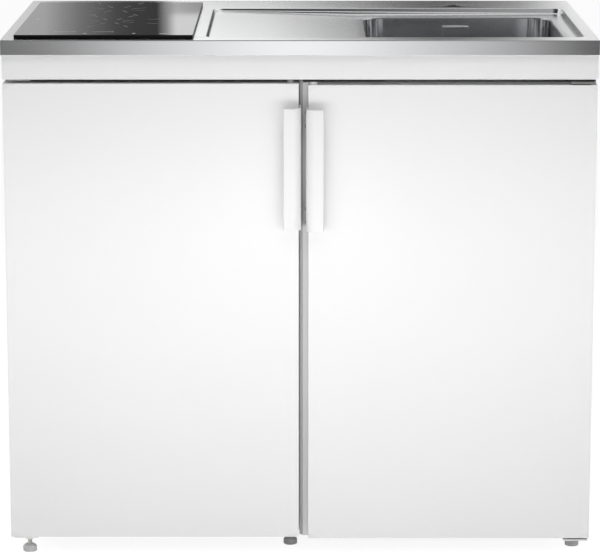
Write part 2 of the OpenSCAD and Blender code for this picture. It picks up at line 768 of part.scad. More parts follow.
// Spring clips that hold the tray against the underside of the worktop
module hob_clamps() color(steel) {
  clip_w = 22;
  clip_t = 1.5;
  clip_reach = tray_gap + 9;
  clip_h = 22;
  foot_z = sheet_z - clip_h;
  for (side = [-1, 1], y = [hob_y0 + clamp_in, hob_y1 - clamp_in]) {
    x = hob_x + side * (hob_w / 2 - tray_in);
    along_y(y - clip_w / 2, y + clip_w / 2, [
      [x, foot_z - 12], [x + side * clip_t, foot_z - 12], [x + side * clip_t, foot_z],
      [x + side * clip_reach, sheet_z - clip_t], [x + side * clip_reach, sheet_z],
      [x + side * (clip_reach - clip_t), sheet_z], [x, foot_z + clip_t]
    ]);
  }
}

// ---- fridge ----
// Outline of the fridge's case seen from the side, moved in by gap all round
function case_outline(gap, y_open) = [
  [y_open, fridge_base_z + gap], [motor_y0 - gap, fridge_base_z + gap],
  [motor_y0 - gap, motor_z1 + gap], [fridge_y1 - gap, motor_z1 + gap],
  [fridge_y1 - gap, frame_z - gap], [y_open, frame_z - gap]
];

// Outline of the cavity seen from the side, moved out by gap all round
function cavity_outline(gap, y_open) = [
  [y_open, cavity_z0 - gap], [hump_y0 + gap, cavity_z0 - gap],
  [hump_y0 + gap, hump_z1 - gap], [cavity_y1 + gap, hump_z1 - gap],
  [cavity_y1 + gap, cavity_z1 + gap], [y_open, cavity_z1 + gap]
];

// Nut for a levelling foot, under a base at height z
module foot_nut(place, z) translate([place[0], place[1], z - foot_nut_h])
  cylinder(h = foot_nut_h, r = foot_nut_r, $fn = 48);

// Bore for a levelling foot's screw
module foot_bore(place, z0, z1) translate([place[0], place[1], z0])
  cylinder(h = z1 - z0, r = foot_screw_d / 2 + pin_gap, $fn = 64);

module fridge_case() color(white) difference() {
  union() {
    block(fridge_x0, fridge_x0 + case_t, fridge_y0, fridge_y1, fridge_base_z, frame_z);
    block(fridge_x1 - case_t, fridge_x1, fridge_y0, fridge_y1, fridge_base_z, frame_z);
    block(fridge_x0, fridge_x1, fridge_y0, fridge_y1 - case_t, frame_z - case_t, frame_z);
    block(fridge_x0, fridge_x1, fridge_y0, motor_y0 - case_t, fridge_base_z,
          fridge_base_z + case_t);
    foot_nut(fridge_inner_foot, fridge_base_z);
  }
  foot_bore(fridge_inner_foot, 0, fridge_base_z);
}

// Back wall and the roof and front of the compressor's room, folded from one sheet
module fridge_back_panel() color(grey)
  along_x(fridge_x0 + case_t, fridge_x1 - case_t, [
    [motor_y0 - case_t, fridge_base_z], [motor_y0, fridge_base_z], [motor_y0, motor_z1],
    [fridge_y1, motor_z1], [fridge_y1, frame_z], [fridge_y1 - case_t, frame_z],
    [fridge_y1 - case_t, motor_z1 + case_t], [motor_y0 - case_t, motor_z1 + case_t]
  ]);

module fridge_insulation() color(foam) difference() {
  along_x(fridge_x0 + case_t, fridge_x1 - case_t,
          case_outline(case_t, fridge_y0 + liner_t));
  along_x(cavity_x0 - liner_t, cavity_x1 + liner_t,
          cavity_outline(liner_t, fridge_y0 - cut));
}

// Ledges on both side walls of the cavity, with their tops at height z
module wall_ledges(z, y1)
  for (x = [cavity_x0, cavity_x1 - ledge_w])
    block(x, x + ledge_w, in_y(shelf_front_in), y1, z - ledge_h, z);

module fridge_liner() color(white) {
  difference() {
    union() {
      along_x(cavity_x0 - liner_t, cavity_x1 + liner_t, cavity_outline(liner_t, fridge_y0));
      block(fridge_x0 + case_t, fridge_x1 - case_t, fridge_y0, fridge_y0 + liner_t,
            fridge_base_z + case_t, frame_z - case_t);
    }
    along_x(cavity_x0, cavity_x1, cavity_outline(0, fridge_y0 - cut));
  }
  // ledges that carry the cover of the crisper and the glass shelves
  wall_ledges(hump_z1, hump_y0);
  wall_ledges(cavity_z0 + shelf_low, cavity_y1);
  wall_ledges(shelf_high_z, cavity_y1);
}

// Section of a sealed can: straight in the middle, with flattened domes at its ends
module can_section(r, h, dome_low, dome_high) {
  steps = 16;
  polygon([
    [0, 0],
    for (i = [1 : steps]) [r * sin(i * 90 / steps), dome_low * (1 - cos(i * 90 / steps))],
    for (i = [0 : steps - 1])
      [r * cos(i * 90 / steps), h - dome_high * (1 - sin(i * 90 / steps))],
    [0, h]
  ]);
}

// The compressor's base plate, its rubber mounts, the welded can with the motor and the
// pump inside, and the relay box
module compressor() color(black) {
  base_t = 1.5;
  can_r = 72;
  can_h = 140;
  can_wall = 3.5;
  seam_z = 62;
  dome_low = 28;
  dome_high = 36;
  motor_r = 48;
  motor_top = 34;
  lift = 12;
  mount_in = 58;
  plate_t = 2.5;
  x = fridge_x0 + 0.62 * fridge_w;
  y = (motor_y0 + fridge_y1) / 2;
  z0 = fridge_base_z + base_t;
  plate_z = z0 + lift + 4;
  relay_z = z0 + 50;
  block(fridge_x0 + case_t, fridge_x1 - case_t, motor_y0, fridge_y1, fridge_base_z, z0);
  difference() {
    union() {
      translate([x, y, z0 + lift]) rotate_extrude($fn = 96) {
        can_section(can_r, can_h, dome_low, dome_high);
        translate([0, seam_z]) square([can_r + 3, 4]);
      }
      block(x - mount_in - 8, x + mount_in + 8, y - mount_in - 8, y + mount_in + 8,
            plate_z, plate_z + plate_t);
      block(x + can_r - can_wall, x + can_r + 32, y - 26, y + 26, relay_z, relay_z + 62);
    }
    translate([x, y, z0 + lift + can_wall]) rotate_extrude($fn = 96) difference() {
      can_section(can_r - can_wall, can_h - 2 * can_wall, dome_low, dome_high);
      square([motor_r, can_h - motor_top]);
    }
  }
  for (dx = [-mount_in, mount_in], dy = [-mount_in, mount_in])
    translate([x + dx, y + dy, z0]) cylinder(h = lift + 4, r = 9, $fn = 32);
}

// Serpentine tube with wires along it, on the back of the fridge
module condenser() color(black) {
  tube_r = 2.5;
  wire_r = 0.8;
  weld = 0.05;
  rows = 9;
  side = 60;
  low = 50;
  high = 40;
  x0 = fridge_x0 + side;
  x1 = fridge_x1 - side;
  z0 = motor_z1 + low;
  z1 = frame_z - high;
  pitch = (z1 - z0) / (rows - 1);
  y = fridge_y1 + 14;
  for (i = [0 : rows - 1]) rod_x(x0, x1, y, z0 + i * pitch, tube_r);
  for (i = [0 : rows - 2])
    translate([i % 2 == 0 ? x1 : x0, y, z0 + (i + 0.5) * pitch])
      rotate([90, 0, 0]) rotate(i % 2 == 0 ? -90 : 90)
        rotate_extrude(angle = 180, $fn = 64) translate([pitch / 2, 0])
          circle(tube_r, $fn = 32);
  wires = 15;
  for (i = [0 : wires - 1])
    translate([x0 + 14 + i * (x1 - x0 - 28) / (wires - 1), y + tube_r + wire_r + weld, z0 - 12])
      cylinder(h = z1 - z0 + 24, r = wire_r, $fn = 16);
  for (x = [x0 + 30, x1 - 30], z = [z0, z1])
    block(x - 8, x + 8, fridge_y1, y - tube_r - weld, z - 6, z + 6);
}

module freezer_box() color(grey) difference() {
  union() {
    difference() {
      block(freezer_x0, freezer_x1, freezer_y0, freezer_y1, freezer_z0, freezer_z1);
      block(freezer_x0 + freezer_t, freezer_x1 - freezer_t, freezer_y0 - cut,
            freezer_y1 - freezer_t, freezer_z0 + freezer_t, freezer_z1 - freezer_t);
    }
    // ears that carry the flap's pins
    for (x = [freezer_x0, freezer_x1 - ear_t])
      block(x, x + ear_t, flap_y - bead_r - 2, freezer_y0, freezer_z0, flap_z + bead_r + 2);
    // hangers up to the ceiling of the cavity
    for (x = [freezer_x0 + 30, freezer_x1 - 50], y = [freezer_y0 + 20, freezer_y1 - 40])
      block(x, x + 20, y, y + 20, freezer_z1, cavity_z1);
  }
  rod_x(freezer_x0 - cut, freezer_x1 + cut, flap_y, flap_z, flap_pin_r + pin_gap);
}

module freezer_flap() color(clear) {
  x0 = freezer_x0 + ear_t + run_gap;
  x1 = freezer_x1 - ear_t - run_gap;
  rod_x(x0, x1, flap_y, flap_z, bead_r);
  block(x0, x1, flap_y + bead_r - flap_t, flap_y + bead_r, flap_z, flap_z + flap_h);
  // grip along the top edge
  block(x0 + 130, x1 - 130, flap_y + bead_r - flap_t - 6, flap_y + bead_r - flap_t + cut,
        flap_z + flap_h - 10, flap_z + flap_h - 4);
  rod_x(x0 - flap_pin_l, x0 + cut, flap_y, flap_z, flap_pin_r);
  rod_x(x1 - cut, x1 + flap_pin_l, flap_y, flap_z, flap_pin_r);
}

module glass_shelves() color(clear)
  for (z = [cavity_z0 + shelf_low, shelf_high_z])
    round_plate(cavity_x0 + shelf_gap, cavity_x1 - shelf_gap, in_y(shelf_front_in),
                cavity_y1 - shelf_gap, z, z + shelf_t, 6);

module crisper_cover() color(clear)
  round_plate(cavity_x0 + shelf_gap, cavity_x1 - shelf_gap, in_y(shelf_front_in),
              cavity_y1 - shelf_gap, hump_z1, hump_z1 + shelf_t, 6);

module crisper_drawer() color(clear) {
  bin(crisper_x0, crisper_x1, crisper_y0, crisper_y1, crisper_z0, crisper_h, bin_t, crisper_r);
  // lip to pull it by
  x = (crisper_x0 + crisper_x1) / 2;
  block(x - crisper_lip_w / 2, x + crisper_lip_w / 2, crisper_y0 - crisper_lip_d,
        crisper_y0 + bin_t / 2, crisper_z0 + crisper_h - crisper_lip_h, crisper_z0 + crisper_h);
}

module thermostat_housing() color(white) difference() {
  union() {
    round_plate_x(cavity_x1 - thermostat_t, cavity_x1, thermostat_y - thermostat_l / 2,
                  thermostat_y + thermostat_l / 2, thermostat_z - thermostat_h / 2,
                  thermostat_z + thermostat_h / 2, 10);
    rod_x(cavity_x1 - thermostat_t - 6, cavity_x1 - thermostat_t, knob_y, thermostat_z, 4);
  }
  // grooves over the lamp
  for (i = [0:5])
    block(cavity_x1 - thermostat_t - cut, cavity_x1 - thermostat_t + 1.5,
          thermostat_y + 6 + i * 10, thermostat_y + 10 + i * 10,
          thermostat_z - 20, thermostat_z + 20);
}

module thermostat_knob() color(grey) {
  x1 = cavity_x1 - thermostat_t - run_gap;
  difference() {
    rod_x(x1 - knob_h, x1, knob_y, thermostat_z, knob_r);
    rod_x(x1 - 7, x1 + cut, knob_y, thermostat_z, 4 + pin_gap);
  }
  block(x1 - knob_h - 3, x1 - knob_h, knob_y - 2, knob_y + 2, thermostat_z - knob_r + 1,
        thermostat_z + knob_r - 1);
}

// ---- hinges ----
module hinge_pin(x, y, z) translate([x, y, z]) cylinder(h = pin_h, d = pin_d, $fn = 64);

// An angle on the front of the case that reaches over the top of the door
module fridge_hinge_upper() color(steel) {
  x0 = fridge_pin_x - hinge_edge;
  z1 = fridge_hinge_z + hinge_t;
  leg_t = 2.5;
  leg_z = fridge_hinge_z - 19;
  along_x(x0, x0 + hinge_w, [
    [fridge_pin_y - hinge_edge, fridge_hinge_z], [fridge_y0 - leg_t, fridge_hinge_z],
    [fridge_y0 - leg_t, leg_z], [fridge_y0, leg_z], [fridge_y0, z1],
    [fridge_pin_y - hinge_edge, z1]
  ]);
  hinge_pin(fridge_pin_x, fridge_pin_y, fridge_hinge_z - pin_h);
}

// A plate under the case that carries the lower pin and a levelling foot
module fridge_hinge_lower() color(steel) difference() {
  plate_d = 45;
  union() {
    x0 = fridge_pin_x - hinge_edge;
    block(x0, x0 + hinge_w, fridge_pin_y - hinge_edge, fridge_y0 + plate_d,
          fridge_base_z - hinge_t, fridge_base_z);
    hinge_pin(fridge_pin_x, fridge_pin_y, fridge_base_z);
    foot_nut(fridge_hinge_foot, fridge_base_z - hinge_t);
  }
  foot_bore(fridge_hinge_foot, 0, fridge_base_z + cut);
}

module cabinet_hinge_upper() color(steel) {
  x1 = cabinet_pin_x + cabinet_pin_in - hinge_inset;
  block(x1 - hinge_w, x1, cabinet_pin_y - hinge_edge + hinge_inset, cabinet_y0 + bar_d,
        cabinet_hinge_z, cabinet_hinge_z + hinge_t);
  hinge_pin(cabinet_pin_x, cabinet_pin_y, cabinet_hinge_z - pin_h);
}

module cabinet_hinge_lower() color(steel) difference() {
  union() {
    x1 = cabinet_pin_x + cabinet_pin_in - hinge_inset;
    block(x1 - hinge_w, x1, cabinet_pin_y - hinge_edge + hinge_inset,
          cabinet_hinge_foot[1] + 2 * foot_nut_r, cabinet_lower_z, cabinet_base_z);
    hinge_pin(cabinet_pin_x, cabinet_pin_y, cabinet_base_z);
    foot_nut(cabinet_hinge_foot, cabinet_lower_z);
  }
  foot_bore(cabinet_hinge_foot, 0, cabinet_base_z + cut);
}

// ---- doors ----
// The four corners that the end caps show in a door's face
module face_corners(x0, x1, z0, z1, y0, y1) {
  along_y(y0, y1, [[x0, z0], [x0 + cap_corner_w, z0], [x0, z0 + cap_corner_h]]);
  along_y(y0, y1, [[x1, z0], [x1, z0 + cap_corner_h], [x1 - cap_corner_w, z0]]);
  along_y(y0, y1, [[x0, z1], [x0, z1 - cap_corner_h], [x0 + cap_corner_w, z1]]);
  along_y(y0, y1, [[x1, z1], [x1 - cap_corner_w, z1], [x1, z1 - cap_corner_h]]);
}

// A plastic end cap between the sides of a door's sheet, showing at its two corners
module end_cap(x0, x1, y1, z0, z1, cap_z0, cap_z1, pin_x, pin_y, bore_z0) difference() {
  union() {
    block(x0 + skin_t, x1 - skin_t, door_y0 + skin_t, y1, cap_z0, cap_z1);
    intersection() {
      face_corners(x0, x1, z0, z1, door_y0, door_y0 + skin_t + cut);
      block(x0, x1, door_y0, y1, cap_z0, cap_z1);
    }
    intersection() {
      face_corners(x0, x1, z0, z1, door_y0, y1);
      union() {
        block(x0, x0 + skin_t, door_y0, y1, cap_z0, cap_z1);
        block(x1 - skin_t, x1, door_y0, y1, cap_z0, cap_z1);
      }
    }
  }
  translate([pin_x, pin_y, bore_z0])
    cylinder(h = pin_h + cut, r = pin_d / 2 + pin_gap, $fn = 64);
}

// Plug in the hinge hole on the free side, because the door can be hung either way
module blanking_plug(x, y, z) translate([x, y, z]) cylinder(h = 4, r = 6, $fn = 48);

module fridge_door_panel() color(white) difference() {
  block(fridge_door_x0, fridge_door_x1, door_y0, fridge_door_y1, fridge_door_z,
        fridge_door_z1);
  block(fridge_door_x0 + skin_t, fridge_door_x1 - skin_t, door_y0 + skin_t,
        fridge_door_y1 + cut, fridge_door_z - cut, fridge_door_z1 + cut);
  face_corners(fridge_door_x0, fridge_door_x1, fridge_door_z, fridge_door_z1,
               door_y0 - cut, fridge_door_y1 + cut);
}

module fridge_door_foam() color(foam)
  block(fridge_door_x0 + skin_t, fridge_door_x1 - skin_t, door_y0 + skin_t,
        fridge_door_y1 - liner_t, fridge_door_z + cap_h, fridge_door_z1 - cap_h);

module fridge_door_liner() color(white) {
  block(fridge_door_x0 + skin_t, fridge_door_x1 - skin_t, fridge_door_y1 - liner_t,
        fridge_door_y1, fridge_door_z + cap_h, fridge_door_z1 - cap_h);
  for (x = [cavity_x0 + ridge_in, cavity_x1 - ridge_in - ridge_w])
    round_plate_y(x, x + ridge_w, fridge_door_y1, fridge_door_y1 + ridge_h,
                  ridge_z0, ridge_z1, 6);
}

module fridge_door_cap_top() color(white) {
  end_cap(fridge_door_x0, fridge_door_x1, fridge_door_y1, fridge_door_z, fridge_door_z1,
          fridge_door_z1 - cap_h, fridge_door_z1, fridge_pin_x, fridge_pin_y,
          fridge_door_z1 - pin_h);
  blanking_plug(fridge_door_x1 - fridge_pin_in, fridge_pin_y, fridge_door_z1);
}

module fridge_door_cap_bottom() color(white)
  end_cap(fridge_door_x0, fridge_door_x1, fridge_door_y1, fridge_door_z, fridge_door_z1,
          fridge_door_z, fridge_door_z + cap_h, fridge_pin_x, fridge_pin_y,
          fridge_door_z - cut);

module door_gasket() color(grey) difference() {
  y1 = fridge_y0 - run_gap;
  round_plate_y(gasket_x0, gasket_x1, fridge_door_y1, y1, gasket_z0, gasket_z1, 8);
  round_plate_y(gasket_x0 + gasket_w, gasket_x1 - gasket_w, fridge_door_y1 - cut, y1 + cut,
                gasket_z0 + gasket_w, gasket_z1 - gasket_w, 2);
}

module door_racks() color(clear)
  for (z = [cavity_z0 + rack_low, cavity_z0 + rack_high])
    bin(rack_x0, rack_x1, rack_y0, rack_y1, z, rack_h, bin_t, 10);

module bottle_rack() color(clear)
  bin(rack_x0, rack_x1, rack_y0, rack_y1, ridge_z0 + 4, bottle_rack_h, bin_t, 10);

// A handle seen from above: a strip on the door's edge that bends over the door's face.
// side is 1 where the door's edge faces +X, and -1 where it faces -X.
module handle_outline(edge_x, side) {
  bend_r = 14;
  strip_in = 22;
  y_flap = door_y0 - handle_reach;
  x_out = edge_x + side * handle_strip_t;
  x_mid = x_out - side * bend_r;
  x_tip = x_out - side * (handle_w - handle_flap_t / 2);
  lo = min(edge_x, x_out);
  translate([lo, y_flap + bend_r])
    square([handle_strip_t, handle_reach - bend_r + strip_in]);
  intersection() {
    difference() {
      translate([x_mid, y_flap + bend_r]) circle(bend_r, $fn = 96);
      translate([x_mid, y_flap + bend_r]) circle(bend_r - handle_flap_t, $fn = 96);
    }
    translate([min(x_mid, x_out), y_flap]) square([bend_r, bend_r]);
  }
  translate([min(x_mid, x_tip), y_flap]) square([abs(x_tip - x_mid), handle_flap_t]);
  translate([x_tip, y_flap + handle_flap_t / 2]) circle(handle_flap_t / 2, $fn = 32);
}

module handle(edge_x, side, door_top) {
  z1 = door_top - handle_drop;
  z0 = z1 - handle_l;
  difference() {
    translate([0, 0, z0]) linear_extrude(handle_l) handle_outline(edge_x, side);
    // the strip is cut away between the two mounting feet
    block(edge_x - handle_w, edge_x + handle_w, door_y0 - 6, door_y0 + handle_w,
          z0 + handle_foot_h, z1 - handle_foot_h);
  }
}

module fridge_handle() color(white) handle(fridge_door_x1, 1, fridge_door_z1);
module cabinet_handle() color(white) handle(cabinet_door_x0, -1, cabinet_door_z1);

// ---- cabinet ----
// A side panel folded at its front, its rear and its top; side is 1 on the left
module cabinet_side(x, side) {
  u1 = x + side * flange_w;
  // the flange ends below the hinge plate, and the top fold leaves room for the crossbar
  flange_z = cabinet_hinge_z - panel_t;
  top_y = cabinet_y0 + bar_d + 4;
  block(min(x, x + side * panel_t), max(x, x + side * panel_t), cabinet_y0, cabinet_y1,
        cabinet_base_z, frame_z);
  block(min(x, u1), max(x, u1), cabinet_y0, cabinet_y0 + panel_t, cabinet_base_z, flange_z);
  block(min(x, u1), max(x, u1), cabinet_y1 - panel_t, cabinet_y1, cabinet_base_z, frame_z);
  block(min(x, u1), max(x, u1), top_y, cabinet_y1, frame_z - panel_t, frame_z);
}

module cabinet_side_left() color(white) cabinet_side(cabinet_x0, 1);
module cabinet_side_right() color(white) cabinet_side(cabinet_x1, -1);

module cabinet_floor() color(white) difference() {
  union() {
    x0 = cabinet_x0 + panel_t;
    x1 = cabinet_x1 - panel_t;
    along_x(x0, x1, c_profile_up(cabinet_y0 + panel_t, cabinet_y1 - panel_t,
                                 cabinet_base_z, floor_edge_h, panel_t));
    for (place = [cabinet_inner_foot, cabinet_rear_left, cabinet_rear_right])
      foot_nut(place, cabinet_base_z);
  }
  for (place = [cabinet_inner_foot, cabinet_rear_left, cabinet_rear_right])
    foot_bore(place, 0, cabinet_base_z);
}

// Back wall with the opening for the waste pipe and the water pipes
module cabinet_back() color(white) difference() {
  block(cabinet_x0 + flange_w, cabinet_x1 - flange_w, cabinet_y1 - panel_t, cabinet_y1,
        cabinet_base_z + floor_edge_h, frame_z);
  round_plate_y(bowl_x - service_w / 2, bowl_x + service_w / 2, cabinet_y1 - 2 * panel_t,
                cabinet_y1 + cut, service_z, trap_out_z + service_over, 15);
}

module cabinet_shelf() color(white) {
  y1 = cabinet_y1 - panel_t;
  y0 = y1 - cabinet_shelf_d;
  z1 = cabinet_base_z + cabinet_shelf_z;
  z0 = z1 - shelf_edge_h;
  along_x(cabinet_x0 + panel_t, cabinet_x1 - panel_t, [
    [y0, z0], [y0 + panel_t, z0], [y0 + panel_t, z1 - panel_t], [y1 - panel_t, z1 - panel_t],
    [y1 - panel_t, z0], [y1, z0], [y1, z1], [y0, z1]
  ]);
}

// Stretcher across the front, above the door's opening
module cabinet_crossbar() color(white) {
  y0 = cabinet_y0 + panel_t;
  y1 = cabinet_y0 + bar_d;
  z0 = cabinet_hinge_z - bar_h;
  z1 = cabinet_hinge_z;
  along_x(cabinet_x0 + panel_t, cabinet_x1 - panel_t, [
    [y0, z0], [y0 + panel_t, z0], [y0 + panel_t, z1 - panel_t], [y1, z1 - panel_t],
    [y1, z1], [y0, z1]
  ]);
}

// A magnet in its holder, on the front of the stretcher beside the handle
module magnet_catch() color(white) {
  x0 = cabinet_x0 + flange_w + 20;
  z0 = cabinet_hinge_z - panel_t - 40;
  block(x0, x0 + 44, cabinet_y0 - 1.5, cabinet_y0 + panel_t, z0, z0 + 16);
}

module cabinet_door_panel() color(white) difference() {
  union() {
    difference() {
      block(cabinet_door_x0, cabinet_door_x1, door_y0, cabinet_door_y1, cabinet_door_z,
            cabinet_door_z1);
      face_corners(cabinet_door_x0, cabinet_door_x1, cabinet_door_z, cabinet_door_z1,
                   door_y0 - cut, cabinet_door_y1 + cut);
    }
    block(cabinet_door_x0 + skin_t, cabinet_door_x1 - skin_t, cabinet_door_y1 - skin_t,
          cabinet_door_y1, cabinet_door_z, cabinet_door_z1);
  }
  block(cabinet_door_x0 + skin_t, cabinet_door_x1 - skin_t, door_y0 + skin_t,
        cabinet_door_y1 - skin_t, cabinet_door_z - cut, cabinet_door_z1 + cut);
}

module cabinet_door_cap_top() color(white) {
  end_cap(cabinet_door_x0, cabinet_door_x1, cabinet_door_y1 - skin_t, cabinet_door_z,
          cabinet_door_z1, cabinet_door_z1 - cap_h, cabinet_door_z1, cabinet_pin_x,
          cabinet_pin_y, cabinet_door_z1 - pin_h);
  blanking_plug(cabinet_door_x0 + cabinet_pin_in, cabinet_pin_y, cabinet_door_z1);
}

module cabinet_door_cap_bottom() color(white)
  end_cap(cabinet_door_x0, cabinet_door_x1, cabinet_door_y1 - skin_t, cabinet_door_z,
          cabinet_door_z1, cabinet_door_z, cabinet_door_z + cap_h, cabinet_pin_x,
          cabinet_pin_y, cabinet_door_z - cut);

// ---- feet ----
// A levelling foot: a moulded disc on a screw that ends at height z1
module foot(place, z1) color(grey) translate([place[0], place[1], 0]) {
  rotate_extrude($fn = 64) polygon([
    [0, 0], [foot_d / 2 - 1, 0], [foot_d / 2, 1.5], [foot_d / 2, foot_h - 4],
    [foot_d / 2 - 3, foot_h], [0, foot_h]
  ]);
  cylinder(h = z1, d = foot_screw_d, $fn = 64);
}

module foot_fridge_hinge() foot(fridge_hinge_foot, fridge_base_z);
module foot_fridge_inner() foot(fridge_inner_foot, fridge_base_z - run_gap);
module foot_cabinet_hinge() foot(cabinet_hinge_foot, cabinet_base_z - run_gap);
module foot_cabinet_inner() foot(cabinet_inner_foot, cabinet_base_z - run_gap);
module foot_cabinet_rear_left() foot(cabinet_rear_left, cabinet_base_z - run_gap);
module foot_cabinet_rear_right() foot(cabinet_rear_right, cabinet_base_z - run_gap);

module fridge_rear_glides() color(grey)
  for (x = [fridge_x0 + fridge_foot_left, fridge_x1 - fridge_foot_right])
    translate([x, fridge_y1 - glide_in, 0]) rotate_extrude($fn = 64) polygon([
      [0, 0], [foot_d / 2 - 1, 0], [foot_d / 2, 1.5], [foot_d / 2 - 2, fridge_base_z],
      [0, fridge_base_z]
    ]);

worktop();
sink_bowl();
fascia_panel();
frame_side_rails();
frame_rear_rail();
overflow_cover();
overflow_hose();
waste_body();
bottle_trap();
trap_cup();
waste_outlet_pipe();
strainer_basket();
hob_glass();
hob_tray();
radiant_heaters();
hob_clamps();
fridge_case();
fridge_back_panel();
fridge_insulation();
fridge_liner();
compressor();
condenser();
freezer_box();
freezer_flap();
glass_shelves();
crisper_cover();
crisper_drawer();
thermostat_housing();
thermostat_knob();
fridge_hinge_upper();
fridge_hinge_lower();
fridge_door_panel();
fridge_door_foam();
fridge_door_liner();
fridge_door_cap_top();
fridge_door_cap_bottom();
door_gasket();
door_racks();
bottle_rack();
fridge_handle();
cabinet_side_left();
cabinet_side_right();
cabinet_floor();
cabinet_back();
cabinet_shelf();
cabinet_crossbar();
magnet_catch();
cabinet_hinge_upper();
cabinet_hinge_lower();
cabinet_door_panel();
cabinet_door_cap_top();
cabinet_door_cap_bottom();
cabinet_handle();
foot_fridge_hinge();
foot_fridge_inner();
fridge_rear_glides();
foot_cabinet_hinge();
foot_cabinet_inner();
foot_cabinet_rear_left();
foot_cabinet_rear_right();
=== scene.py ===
import math

import bmesh
import bpy
from mathutils import Matrix, Vector


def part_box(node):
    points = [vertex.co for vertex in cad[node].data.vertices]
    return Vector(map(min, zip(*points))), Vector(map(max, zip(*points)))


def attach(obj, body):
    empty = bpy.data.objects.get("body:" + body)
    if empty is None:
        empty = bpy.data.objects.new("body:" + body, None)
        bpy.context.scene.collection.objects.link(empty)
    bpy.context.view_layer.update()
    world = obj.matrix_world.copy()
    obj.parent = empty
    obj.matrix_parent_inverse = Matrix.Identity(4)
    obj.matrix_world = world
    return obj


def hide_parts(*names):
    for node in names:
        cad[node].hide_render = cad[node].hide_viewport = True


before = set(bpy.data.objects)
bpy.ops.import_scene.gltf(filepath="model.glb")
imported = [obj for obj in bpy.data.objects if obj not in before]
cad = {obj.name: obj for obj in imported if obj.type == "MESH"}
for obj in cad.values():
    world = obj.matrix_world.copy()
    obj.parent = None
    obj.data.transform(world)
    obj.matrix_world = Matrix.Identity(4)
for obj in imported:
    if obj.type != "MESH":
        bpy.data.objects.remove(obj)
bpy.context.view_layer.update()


# ---- Camera ----
# The photograph was taken from straight in front of the unit, from just above the
# worktop, through a long lens. The numbers come from the worktop's and doors' edges.
PHOTO_W, PHOTO_H = 600, 552
FOCAL_PX = 2802
AXIS_ROW = 216
EYE_AWAY, EYE_UP, EYE_DOWN = 4.631, 0.5761, math.radians(10.68)
top_low, top_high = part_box("worktop")
front_y, back_y, top_z = top_low.y, top_high.y, top_high.z
camera = bpy.data.objects.new("photo_camera", bpy.data.cameras.new("photo_camera"))
bpy.context.collection.objects.link(camera)
bpy.context.scene.camera = camera
camera.data.sensor_width = 36
camera.data.lens = FOCAL_PX / PHOTO_W * camera.data.sensor_width
camera.data.shift_y = (AXIS_ROW - PHOTO_H / 2) / PHOTO_W
camera.location = (0, front_y - EYE_AWAY, top_z + EYE_UP)
camera.rotation_euler = (math.pi / 2 - EYE_DOWN, 0, 0)


# ---- Studio ----
# A pale floor under even white light, and cards out of view that the steel and the
# glass mirror: in front for the worktop's edge, behind for its upper side, and overhead.
class Value:
    """A shader socket that takes part in Python arithmetic."""

    def __init__(self, finish, socket):
        self.finish, self.socket = finish, socket

    def join(self, operation, *values):
        return self.finish.node(
            "ShaderNodeMath", {"operation": operation}, dict(enumerate(values))
        )

    def __add__(self, other):
        return self.join("ADD", self, other)

    def __sub__(self, other):
        return self.join("SUBTRACT", self, other)

    def __rsub__(self, other):
        return self.join("SUBTRACT", other, self)

    def __mul__(self, other):
        return self.join("MULTIPLY", self, other)

    __radd__, __rmul__ = __add__, __mul__

    def clamp(self, low, high):
        return self.join("MAXIMUM", self.join("MINIMUM", self, high), low)


class Finish:
    """A material, or the world, built up node by node."""

    def __init__(self, name, owner=None):
        self.owner = owner or bpy.data.materials.new(name)
        self.owner.use_nodes = True
        self.tree = self.owner.node_tree
        self.tree.nodes.clear()

    def node(self, kind, settings=None, inputs=None, output=0):
        """Adds a node, sets it up, joins its inputs and gives one of its outputs."""
        made = self.tree.nodes.new(kind)
        for name, value in (settings or {}).items():
            if name == "stops":
                stops = made.color_ramp.elements
                stops.remove(stops[1])
                stops[0].position = 0
                for number, (place, level) in enumerate(value):
                    stop = stops.new(place) if number else stops[0]
                    stop.color = (level, level, level, 1)
            else:
                setattr(made, name, value)
        for name, value in (inputs or {}).items():
            if isinstance(value, Value):
                self.tree.links.new(value.socket, made.inputs[name])
            else:
                made.inputs[name].default_value = value
        return Value(self, made.outputs[output])

    def place(self, scale=(1, 1, 1)):
        """The point on the piece in metres, stretched by scale."""
        point = self.node("ShaderNodeTexCoord", output="Object")
        return self.node("ShaderNodeMapping", {}, {"Vector": point, "Scale": scale})

    def noise(self, scale, detail=2.0, rough=0.5):
        """Noise from 0 to 1 whose grains have the given number per metre each way."""
        return self.node(
            "ShaderNodeTexNoise",
            {},
            {"Vector": self.place(scale), "Scale": 1.0, "Detail": detail, "Roughness": rough},
        )

    def mix(self, factor, first, second):
        """A colour between two colours."""
        return self.node(
            "ShaderNodeMix",
            {"data_type": "RGBA"},
            {"Factor": factor, 6: (*first, 1), 7: (*second, 1)},
            output=2,
        )

    def bump(self, height, depth):
        """A surface raised by a height of 0 to 1 times a depth in metres."""
        return self.node("ShaderNodeBump", {}, {"Height": height, "Distance": depth})

    def surface(self, **inputs):
        """The usual shader, with its inputs by name, as the material's surface."""
        named = {name.replace("_", " "): value for name, value in inputs.items()}
        for name, value in named.items():
            if isinstance(value, tuple) and len(value) == 3:
                named[name] = (*value, 1)
        self.output(self.node("ShaderNodeBsdfPrincipled", {}, named))
        return self.owner

    def output(self, shader, kind="ShaderNodeOutputMaterial"):
        end = self.tree.nodes.new(kind)
        self.tree.links.new(shader.socket, end.inputs["Surface"])


def new_piece(name, mesh_builder, finish):
    """An object at the origin whose mesh comes out of a bmesh."""
    mesh = bpy.data.meshes.new(name)
    mesh_builder.to_mesh(mesh)
    mesh_builder.free()
    piece = bpy.data.objects.new(name, mesh)
    bpy.context.collection.objects.link(piece)
    mesh.materials.append(finish)
    return piece


